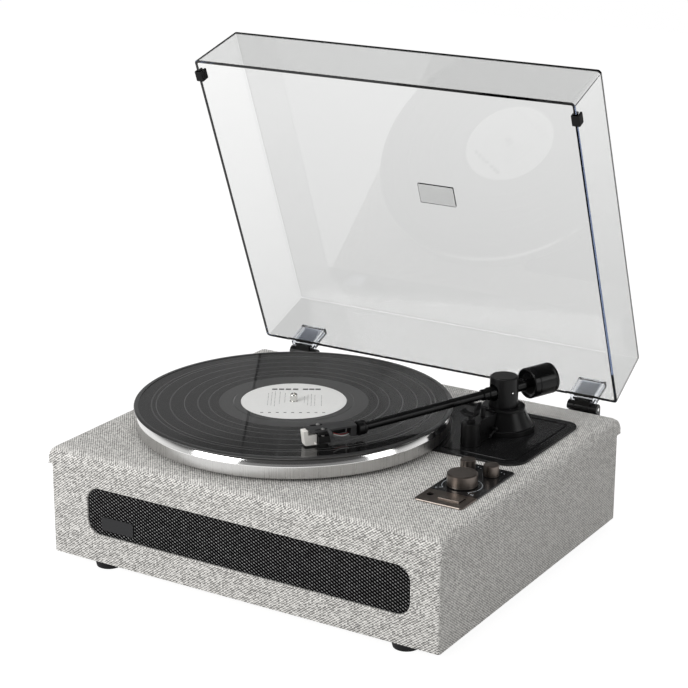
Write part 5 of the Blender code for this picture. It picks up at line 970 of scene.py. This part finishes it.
ARM = SWING @ TILT
ALONG = turned(90, "Y")
SLEEVE = mm((0, -52), (3.8, -52), (4, -51.7), (4, -23.1), (5.4, -23.1), (6, -22.5), (6, 19),
            (5.7, 19.4), (5.2, 19.5), (5.2, 19.8), (5.4, 20), (5.4, 25.5), (5, 26), (4.5, 26),
            (4.5, 21.7), (0, 21.7))
TUBE = mm((3.4, 22), (4.2, 22), (4.2, 161.3), (3.4, 161.3))
COLLAR = mm((0, 161.6), (4.5, 161.6), (4.5, 157.3), (6.2, 157.3), (6.75, 157.9), (6.75, 159.8),
            (6.3, 160.1), (6.3, 160.5), (6.75, 160.8), (6.75, 165.3), (6.2, 166), (3, 166),
            (3, 170.8), (2.7, 171), (0, 171))
PIVOT_POINT = mm((0, 5), (1.1, 5), (1.1, 13.4), (0.9, 13.8), (0.5, 14), (0, 14.05))
TUBE_BLACK = grained("anodised_black", (0.004, 0.004, 0.0042), 0.26, 0.0, 1800, 0.00001, shine=0.20)
STEEL = grained("bright_steel", (0.72, 0.72, 0.71), 0.22, 1.0, 1500, 0.000008)

put("arm_sleeve_turned", lathe(SLEEVE, 64), TUBE_BLACK, "tonearm", ["arm_sleeve"],
    ARM @ ALONG)
put("pivot_points", gather([(lathe(PIVOT_POINT, 24), turned(turn, "X")) for turn in (90, -90)]),
    STEEL, "tonearm", (), ARM)
put("arm_tube_drawn", lathe(TUBE, 64, closed=True), TUBE_BLACK, "tonearm",
    ["arm_tube"], ARM @ ALONG)
put("shell_collar", lathe(COLLAR, 64), SATIN_BLACK, "tonearm",
    ["headshell_collar"], ARM @ ALONG)


# Headshell: a thin pressed plate, dark grey, with two slots for the cartridge screws, a block
# that takes the arm's socket, and a finger lift that curls out and down from its near edge.

SHELL = ARM @ moved(0.166) @ turned(-2, "Y") @ turned(-11.5, "Z")
SHELL_LOW, SHELL_HIGH = 0.0044, 0.0060
SHELL_OUTLINE = mm((1.8, -6.75), (26.8, -9), (40.9, -9), (47, -5.75), (47, 5.75), (40.9, 9),
                   (26.8, 9), (1.8, 6.75))
SLOT_AT = [(0.0360, side * 0.00635) for side in (-1, 1)]
LIFT_FROM = (0.0074, 0.0060)
LIFT_REACH, LIFT_DROP, LIFT_STEPS = 0.0120, 0.0085, 8
SHELL_GREY = grained("dark_grey_metal", (0.026, 0.026, 0.027), 0.36, 0.0, 1500, 0.00001, shine=0.40)

shell = board(SHELL_OUTLINE, SHELL_LOW, SHELL_HIGH, 0.0008, 4)
for x, y in SLOT_AT:
    shell = carve(shell, board(oblong((0.0120, 0.0028), (x, y)), 0, 0.01, 0.00135, 6))
block = board(oblong((0.0055, 0.0105), (0.00455, 0)), -0.0048, SHELL_HIGH - 0.0006, 0.0006, 3)
shell = carve(shell, block, weld=True)
shell = carve(shell, rod(0.0033, -0.01, 0.0053), turned(11.5, "Z") @ ALONG)
soften(shell, 0.0003, 2, above(SHELL_HIGH))
curl = [(LIFT_FROM[0] + LIFT_REACH * sin(turn), LIFT_FROM[1] - LIFT_DROP * (1 - cos(turn)))
        for turn in (radians(90) * step / LIFT_STEPS for step in range(LIFT_STEPS + 1))]
lift = ribbon(curl, 0.0284, 0.0318, 0.0009)
soften(lift, 0.00025, 2, sharper=60)
put("headshell_plate", gather([(shell, STRAIGHT), (lift, ACROSS)]), SHELL_GREY, "tonearm",
    ["headshell"], SHELL)


# Cartridge: a moulded black body hung from the shell by two steel screws with nuts. Its ivory
# stylus block is pushed on in front, and thin leads join its pins to the shell's block.

BODY_SECTION = mm((7.2, -7.2), (8, -6.4), (8, -0.9), (7.2, -0.1), (4.75, -0.1), (4.75, 1.1),
                  (8, 1.1), (8, 4.1))
BODY_FROM, BODY_TO = 0.0250, 0.0388
STYLUS_SIDE = mm((39.1, -8.2), (39.8, -8.9), (49.8, -8.9), (50.5, -8.2), (52.1, 4.5), (51.4, 5.2),
                 (47.3, 5.2), (47.3, 0.7), (39.1, 0.7))
IVORY = grained("ivory_plastic", (0.88, 0.86, 0.815), 0.42, scale=1300, bump=0.00002, uneven=0.05)
DARK_STEEL = grained("dark_steel", (0.34, 0.335, 0.33), 0.30, 1.0, 1500, 0.000008)
GOLD_PIN = grained("gold_pin", (0.80, 0.60, 0.25), 0.25, 1.0, 1500)
RED_WIRE = grained("red_wire", (0.45, 0.015, 0.015), 0.45, scale=2500, uneven=0.12)
WHITE_WIRE = grained("white_wire", (0.72, 0.72, 0.70), 0.45, scale=2500, uneven=0.12)

body = board(BODY_SECTION + [(-y, z) for y, z in BODY_SECTION[::-1]], BODY_FROM, BODY_TO)
soften(body, 0.0003, 2)
put("cartridge_shell", body, BLACK_PLASTIC, "tonearm", ["cartridge_body"],
    SHELL @ ACROSS)
pins = [(rod(0.0004, 0.0230, 0.0252, 12), moved(0, y, z) @ ALONG)
        for y in (-0.0021, 0.0021) for z in (-0.0018, -0.0039)]
put("cartridge_pins", gather(pins), GOLD_PIN, "tonearm", (), SHELL)
screws = []
for x, y in SLOT_AT:
    washer = tube(0.0010, 0.0019, 0, 0.0003)
    shank = rod(0.0009, -0.0068, 0.0004, 20)
    nut = tube(0.0009, 0.0017, -0.0064, -0.0050, 6)
    place = moved(x - 0.0015, y, SHELL_HIGH + 0.00002)
    screws += [(cross_screw(0.0014, 0.0011), place @ moved(z=0.0003)), (washer, place),
               (shank, place), (nut, place)]
put("cartridge_screws", gather(screws), DARK_STEEL, "tonearm", (), SHELL)
stylus = soften(board(STYLUS_SIDE, -0.0040, 0.0040), 0.0004, 3)
peg = lathe(mm((0, 0), (0.9, 0), (0.9, 6.4), (0.7, 6.6), (0, 6.6)), 24)
peg_at = moved(0.0409, 0, -0.0071) @ turned(-90, "X")
put("stylus_block", gather([(stylus, TO_SIDE), (peg, peg_at)]), IVORY, "tonearm",
    ["stylus_assembly"], SHELL)
put("stylus_tip", lathe(mm((0, -9.6), (0.15, -9.4), (0.4, -8.7), (0, -8.7)), 16), STEEL, "tonearm",
    (), SHELL @ moved(0.0456))
skirt = soften(board(oblong((0.0168, 0.0016), (0.0164, -0.0062)), -0.0046, SHELL_LOW + 0.0001),
               0.0004, 2)
put("shell_skirt", skirt, BLACK_PLASTIC, "tonearm", (), SHELL)
dress(RED_WIRE, "lead_red")
dress(WHITE_WIRE, "lead_white")


# Counterweight: a heavy turned cylinder, glossy black, that screws along the arm's rear stub,
# with a loose dial ring in front of it whose face is dished.

WEIGHT = mm((4.3, -33.8), (14.5, -33.8), (14.8, -34.1), (14.8, -51.2), (14.4, -51.5), (14.4, -51.9),
            (14.8, -52.2), (14.8, -54.5), (14.5, -55.1), (13.9, -55.5), (11.8, -55.5),
            (11.4, -55.1), (4.3, -55.1))
DIAL = mm((4.3, -33.5), (14.5, -33.5), (14.8, -33.2), (14.8, -28.1), (14.6, -27.5), (14.1, -27.1),
          (13.4, -27), (12.8, -27.3), (11.8, -28.4), (10, -29), (4.3, -29))
WEIGHT_BLACK = grained("weight_black", (0.0035, 0.0035, 0.0037), 0.17, 0.0, 1500, 0.000005,
                       shine=0.22)

put("counterweight_turned", lathe(WEIGHT, 96, closed=True), WEIGHT_BLACK, "counterweight",
    ["counterweight"], ARM @ ALONG)
put("dial_ring", lathe(DIAL, 96, closed=True), WEIGHT_BLACK, "counterweight",
    ["force_dial"], ARM @ ALONG)


# Control plate: a sheet of bronze-coloured metal with a bevelled rim and cut corners. Behind a
# straight line it is glossy black, with a ring and ticks round the knobs in pale ink.

CONTROL_SIZE = (0.0475, 0.1005)
CONTROL_LOW, CONTROL_HIGH = 0.1126, 0.1140
CONTROL_CUT = 0.0026
BLACK_BEHIND = -0.0830
VOLUME_AT, BASS_AT, TREBLE_AT = (0.1640, -0.0625), (0.1510, -0.0280), (0.1750, -0.0290)
KEY_AT, KEY_SIZE = (0.1710, -0.0950), (0.0210, 0.0106)
JACK_AT, JACK_HOLE = (0.1500, -0.0947), 0.0033
RING_RADIUS = 0.0178
STROKE_SCALE = 3500.0
BRONZE = (0.200, 0.172, 0.153)
REAR_BLACK = (0.010, 0.010, 0.0105, 1)


def brushed_line():
    """Fine brush strokes along X, for sheet metal."""
    tree, given, out = group_tree("brushed_line", ["Scale"], ["Stroke"])
    at = axes(tree)
    stroke = noise(placed(tree, at[0] * 0.03, at[1], at[2]), 3, given["Scale"])
    return fill(out, {"Stroke": stroke}).id_data


BRUSHED_LINE = brushed_line()

# The panel is brushed bronze in front of a line and glossy black behind it.
CONTROL_FINISH, tree, shader = blank("bronze_and_black")
black_behind = axes(tree)[1] > BLACK_BEHIND + DECK.translation.y
bronze_front = 1 - black_behind
stroke = grouped(tree, BRUSHED_LINE, Scale=STROKE_SCALE)["Stroke"]
fill(shader, {"Base Color": mixed(black_behind, shade(stroke, BRONZE, 0.75, 1.25), REAR_BLACK),
              "Metallic": bronze_front, "Roughness": bronze_front * spread(stroke, 0.10, 0.24) + 0.16,
              "Normal": relief(stroke * bronze_front, 0.000015)})
PALE_INK = grained("pale_ink", (0.62, 0.66, 0.70), 0.6, scale=2000, uneven=0.08)

x, y = (side / 2 for side in CONTROL_SIZE)
outline = [(-x + CONTROL_CUT, -y), (x - CONTROL_CUT, -y), (x, -y + CONTROL_CUT),
           (x, y - CONTROL_CUT), (x - CONTROL_CUT, y), (-x + CONTROL_CUT, y),
           (-x, y - CONTROL_CUT), (-x, -y + CONTROL_CUT)]
plate = board([(CONTROL_AT[0] + px, CONTROL_AT[1] + py) for px, py in outline], CONTROL_LOW,
              CONTROL_HIGH)
soften(plate, 0.0008, 2, above(CONTROL_HIGH))
for (x, y), radius in ((VOLUME_AT, 0.0045), (BASS_AT, 0.0045), (TREBLE_AT, 0.0045),
                       (JACK_AT, JACK_HOLE)):
    plate = carve(plate, rod(radius, 0.11, 0.12, 40), moved(x, y))
key_hole = oblong(KEY_SIZE, (KEY_AT[0] + 0.0003, KEY_AT[1] + 0.0002), 0.0006)
plate = carve(plate, board(key_hole, 0.11, 0.12, 0.0008, 3))
put("control_sheet", plate, CONTROL_FINISH, "plinth", ["control_plate"], crease=20)


def ring_marks(centre, radius, start, end, step, length, high):
    """Short slips in a ring, each lying along it."""
    count = round((end - start) / step)
    turns = [start + (end - start) * i / count for i in range(count + 1)]
    return [(length, high, centre[0] + radius * cos(radians(turn)),
             centre[1] + radius * sin(radians(turn)), turn + 90) for turn in turns]


def figures(text, size, place):
    """Printed figures, as a thin flat shape."""
    curve = bpy.data.curves.new("figures", "FONT")
    curve.body, curve.size, curve.extrude, curve.resolution_u = text, size, 0.00002, 2
    curve.align_x = curve.align_y = "CENTER"
    return finished(linked("figures", curve)), place


marks = ring_marks(VOLUME_AT, RING_RADIUS, -45, 225, 3, 0.00105, 0.00045)
for turn in (-45, 225):
    marks += [(0.0026, 0.0005, VOLUME_AT[0] + 0.0194 * cos(radians(turn)),
               VOLUME_AT[1] + 0.0194 * sin(radians(turn)), turn)]
for centre in (BASS_AT, TREBLE_AT):
    marks += ring_marks(centre, 0.0125, 50, 110, 20, 0.0009, 0.0009)
print_on("control_rings", marks, PALE_INK, "plinth",
         DECK @ moved(0, 0, CONTROL_HIGH + 0.00001))
numbers = [figures(text, 0.0034, moved(VOLUME_AT[0] + x, VOLUME_AT[1] + y, CONTROL_HIGH + 0.00003))
           for text, x, y in (("0", -0.0170, -0.0165), ("10", 0.0178, -0.0158))]
put("control_figures", gather(numbers), PALE_INK, "plinth")


# Knobs: turned from solid bar and coloured bronze. Each has a fine groove above its foot and a
# bright cut edge on top. The two tone knobs have a notch that shows where they point.

VOLUME_KNOB = mm((0, 121.8), (3.3, 121.8), (3.3, 114.3), (13.15, 114.3), (13.7, 114.85),
                 (13.7, 116.5), (13.4, 116.65), (13.4, 116.95), (13.7, 117.1), (13.7, 125.3),
                 (12.7, 126.3), (12.4, 126.35), (0, 126.35))
TONE_KNOB = mm((0, 121.8), (3.3, 121.8), (3.3, 114.3), (6.7, 114.3), (7, 114.6), (7, 115.5),
               (6.7, 115.7), (6.7, 115.9), (7, 116.1), (7, 124.2), (6.5, 124.8), (0, 124.8))
NOTCH = (0.0016, 0.0030)

for name, profile, centre in (("knob_volume", VOLUME_KNOB, VOLUME_AT),
                              ("knob_bass", TONE_KNOB, BASS_AT),
                              ("knob_treble", TONE_KNOB, TREBLE_AT)):
    knob = lathe(profile, 96 if centre == VOLUME_AT else 72)
    if centre != VOLUME_AT:
        knob = carve(knob, board(oblong(NOTCH, (0, -0.0075)), 0.1190, 0.13))
    finish = turned_finish(f"{name}_bronze", centre, BRONZE, 0.34, 1.0, 2600.0, 0.000006, 0.18,
                           streaks=60.0)[0]
    put(f"{name}_turned", knob, finish, name, [name], DECK @ moved(*centre), crease=25)


# Source key and headphone socket: a bronze bar that presses in through the plate, and a black
# socket behind a plain hole with a bevelled rim.

KEY_LOW, KEY_HIGH = 0.1118, 0.1152

key = soften(board(oblong(KEY_SIZE, KEY_AT), KEY_LOW, KEY_HIGH, 0.0006, 3), 0.0004, 3,
             above(KEY_HIGH))
key = carve(key, board(oblong((0.0030, 0.0030), KEY_AT), 0.1094, 0.1130), weld=True)
KEY_BRONZE, tree, shader = blank("key_bronze")
stroke = grouped(tree, BRUSHED_LINE, Scale=STROKE_SCALE)["Stroke"]
fill(shader, {"Base Color": shade(stroke, BRONZE, 0.8, 1.3),
              "Roughness": spread(stroke, 0.26, 0.40), "Normal": relief(stroke, 0.000012),
              "Metallic": 1.0})
put("source_key", key, KEY_BRONZE, "mode_key", ["mode_key"])
dress(BLACK_PLASTIC, "headphone_jack")


# Hinges: a black moulded bracket is screwed to the plinth's back, and a blade turns between its
# lugs on a steel pin. The blade's steel leaf slides up into a clear socket on the cover.

HINGE_AT = (0.182, 0.113)
HINGE_SIDES = (("left", -0.1572), ("right", 0.1652))
KNUCKLE = 0.0052
BRACKET = mm((-6.7, -50), (-3.7, -50), (-3.7, -23), (5.2, -14))
BRACKET += [(KNUCKLE * cos(turn), KNUCKLE * sin(turn)) for turn in map(radians, range(0, 181, 15))]
BRACKET += mm((-5.2, -1.8), (-0.6, -5.2), (-0.6, -17), (-6.7, -21.5))
HINGE_HALF, LUG = 0.01575, 0.00756
HUB_HALF = HINGE_HALF - LUG - 0.0003
LEAF_FACE, LEAF_BACK, LEAF_HALF = -0.00955, -0.00735, 0.01025
SOCKET_SIDE = mm((-11.65, 1), (-5.7, 1), (-6.6, 26), (-13.3, 26))
SOCKET_HALF = 0.0145
COVER = DECK @ moved(0, *HINGE_AT) @ turned(-68.7, "X")
HINGE_BLACK = grained("hinge_black", (0.005, 0.005, 0.005), 0.33, scale=1200, bump=0.00003,
                      shine=0.25)
BLADE_NECK = mm((-9.55, 3.2), (-9.55, -0.9), (-1.8, -4.1), (-1.8, 0.65), (-7.35, 0.65),
                (-7.35, 3.2))
LEAF_STEEL = grained("leaf_steel", (0.56, 0.58, 0.63), 0.3, 0.35, 900, 0.00001)


def clear_finish(name, low, high, dark):
    """Clear acrylic that lets light through, its tint a painted shade that deepens low down by the
    hinges, and a painted dark line where it is seen edge-on.
    """
    finish, tree, shader = blank(name)
    grazing = Value(node(tree, "LayerWeight", {"Blend": 0.5}).outputs["Facing"])
    # Painted shade: the tint runs from the darker one low down by the hinges to the lighter one
    # higher up.
    colour = mixed(spread(axes(tree)[2], 0, 1, HINGE_AT[1], 0.45), low, high)
    scuffs = grouped(tree, SURFACE_GRAIN, Scale=90.0)["Broad"]
    # Painted shade: seen edge-on, the colour turns to the dark one.
    fill(shader, {"Base Color": mixed(spread(grazing, 0, 1, 0.86, 0.98), colour, dark),
                  "Roughness": spread(scuffs, 0.0, 0.03), "Transmission Weight": 1.0, "IOR": 1.49})
    through = node(tree, "BsdfTransparent", {"Color": (0.93, 0.93, 0.93, 1)})
    shading = node(tree, "LightPath").outputs["Is Shadow Ray"]
    both = node(tree, "MixShader", {0: shading, 1: shader.outputs[0], 2: through.outputs[0]})
    fill(tree.nodes["Material Output"], {"Surface": both.outputs[0]})
    return finish


# The clear finish with the deeper painted shade, for the cover's top panel and rear wall, darker
# still low down by the hinges.
CLEAR_DEEP_SHADE = clear_finish("clear_acrylic", (0.60, 0.603, 0.60, 1), (0.80, 0.803, 0.80, 1),
                     (0.09, 0.11, 0.17, 1))
CLEAR_SOCKET = clear_finish("clear_socket", (0.92, 0.94, 0.98, 1), (0.92, 0.94, 0.98, 1),
                            (0.10, 0.13, 0.24, 1))

for side, x in HINGE_SIDES:
    bracket = carve(board(BRACKET, -HINGE_HALF, HINGE_HALF),
                    board(oblong((0.0128, 0.0128)), -HINGE_HALF + LUG, HINGE_HALF - LUG))
    bracket = carve(bracket, rod(0.0021, -0.02, 0.02))
    soften(bracket, 0.0006, 2, lambda at: abs(at.z) > HINGE_HALF - NEAR or at.y < -0.049)
    put(f"hinge_bracket_{side}_moulded", bracket, HINGE_BLACK, "plinth",
        [f"hinge_bracket_{side}"], DECK @ moved(x, *HINGE_AT) @ ACROSS)
    heads = [(cross_screw(0.0030, 0.0016),
              moved(x + dx, HINGE_AT[0] - 0.0037, HINGE_AT[1] - dz) @ turned(-90, "X"))
             for dx in (-0.009, 0.009) for dz in (0.030, 0.043)]
    put(f"bracket_screws_{side}", gather(heads), STEEL, "plinth")
    hub = carve(tube(0.0021, KNUCKLE, -HUB_HALF, HUB_HALF, 48),
                board(BLADE_NECK, -HUB_HALF, HUB_HALF), weld=True)
    hub = carve(hub, board(corners_of((LEAF_FACE, 0.001), (LEAF_BACK, 0.0042)), -LEAF_HALF,
                           LEAF_HALF), weld=True)
    on_cover = COVER @ moved(x) @ ACROSS
    put(f"hinge_blade_{side}_hub", hub, HINGE_BLACK, "cover",
        [f"hinge_blade_{side}"], on_cover)
    leaf = board(corners_of((LEAF_FACE + 0.0004, 0.0040), (LEAF_BACK - 0.0004, 0.024)),
                 -LEAF_HALF + 0.0008, LEAF_HALF - 0.0008)
    put(f"hinge_leaf_{side}", soften(leaf, 0.0003, 2), LEAF_STEEL, "cover", (), on_cover)
    pin = lathe(mm((0, -16.35), (1.2, -16.35), (1.8, -16), (1.8, 16), (1.2, 16.35), (0, 16.35)), 32)
    put(f"hinge_pin_{side}_turned", pin, STEEL, "cover", [f"hinge_pin_{side}"],
        COVER @ moved(x) @ ALONG)
    pocket = board(corners_of((-0.00985, -0.01), (-0.00705, 0.0243)), -LEAF_HALF - 0.0003,
                   LEAF_HALF + 0.0003)
    socket = soften(carve(board(SOCKET_SIDE, -SOCKET_HALF, SOCKET_HALF), pocket), 0.0004, 2)
    put(f"hinge_socket_{side}_clear", socket, CLEAR_SOCKET, "cover",
        [f"hinge_socket_{side}"], on_cover)


# Dust cover: one clear acrylic moulding with walls that lean in a little and rounded edges. Its
# sawn and polished rim looks navy, because the colour of the whole sheet gathers there.

COVER_SIZE, COVER_CENTRE = (0.4047, 0.3346), (0, -0.17925)
COVER_LOW, COVER_HIGH = 0.0010, 0.0667
COVER_LEAN, COVER_WALL = 0.0042, 0.0030
COVER_CORNER, COVER_EDGE = 0.0040, 0.0025

# The clear finish with the lighter painted shade, for the other walls and the tab, darker low down
# by the hinges.
CLEAR_LIGHT_SHADE = clear_finish("clear_wall_light_shade", (0.70, 0.703, 0.70, 1), (0.97, 0.973, 0.97, 1),
                          (0.10, 0.12, 0.18, 1))
CLEAR_RIM = clear_finish("clear_rim", (0.055, 0.090, 0.22, 1), (0.055, 0.090, 0.22, 1),
                         (0.02, 0.035, 0.09, 1))


def leaning_box(inset, low, high, corner, rounding):
    """A box whose walls lean in towards its rounded top."""
    box = board(oblong(COVER_SIZE, COVER_CENTRE, -inset), low, high, corner, 6)
    top = [vert for vert in box.verts if vert.co.z > high - NEAR]
    x, y = (1 - COVER_LEAN / (side / 2 - inset) for side in COVER_SIZE)
    middle = moved(-COVER_CENTRE[0], -COVER_CENTRE[1])
    bmesh.ops.scale(box, vec=(x, y, 1), space=middle, verts=top)
    return soften(box, rounding, 6, above(high), 50)


shell = carve(leaning_box(0, COVER_LOW, COVER_HIGH, COVER_CORNER, COVER_EDGE),
              leaning_box(COVER_WALL, COVER_LOW - 0.001, COVER_HIGH - COVER_WALL, 0.0014, 0.0012))
for _, x in HINGE_SIDES:
    recess = oblong((0.034, 0.008), (x, COVER_CENTRE[1] + COVER_SIZE[1] / 2))
    shell = carve(shell, board(recess, 0, COVER_LOW + 0.0006))
soften(shell, 0.0003, 1, lambda at: at.z < COVER_LOW + NEAR, 50)
# Painted shade: the top panel and the rear wall take the darker clear finish, the other walls the
# lighter one, for the darker background seen through them.
for face in shell.faces:
    face.normal_update()
    middle, normal = face.calc_center_median(), face.normal
    shaded_rear_wall = normal.y**2 > 0.8 and middle.y > -0.02
    face.material_index = (1 if middle.z < COVER_LOW + NEAR
                           else 0 if abs(normal.z) > 0.9 or shaded_rear_wall else 2)
cover = put("dust_cover_moulding", shell, CLEAR_DEEP_SHADE, "cover", ["dust_cover"], COVER,
            crease=28)
for finish in (CLEAR_RIM, CLEAR_LIGHT_SHADE):
    cover.data.materials.append(finish)


# Tab and bumpers: a clear tab bonded to the cover's top, and two small rubber bumpers clipped
# over the side walls' rims, which the shut cover rests on.

TAB_SIZE, TAB_CENTRE = (0.040, 0.0225), (0, -0.1786)
TAB_LOW, TAB_HIGH = 0.0670, 0.0692
BUMPER = mm((196.85, -0.4), (204.85, -0.4), (204.36, 8.5), (202.16, 8.5), (202.65, 0.7),
            (199.05, 0.7), (198.56, 8.5), (196.36, 8.5))
BUMPER_AT, BUMPER_HALF = -0.32855, 0.0054

tab = soften(board(oblong(TAB_SIZE, TAB_CENTRE), TAB_LOW, TAB_HIGH, 0.0010, 4), 0.0004, 2)
put("cover_tab_clear", tab, CLEAR_LIGHT_SHADE, "cover", ["cover_tab"], COVER)
for side, sign in (("left", -1), ("right", 1)):
    bumper = board([(sign * x, z) for x, z in BUMPER], -BUMPER_HALF, BUMPER_HALF)
    soften(bumper, 0.0007, 3, sharper=60)
    put(f"cover_bumper_{side}_moulded", bumper, RUBBER, "cover", [f"cover_bumper_{side}"],
        COVER @ moved(y=BUMPER_AT) @ TO_SIDE)
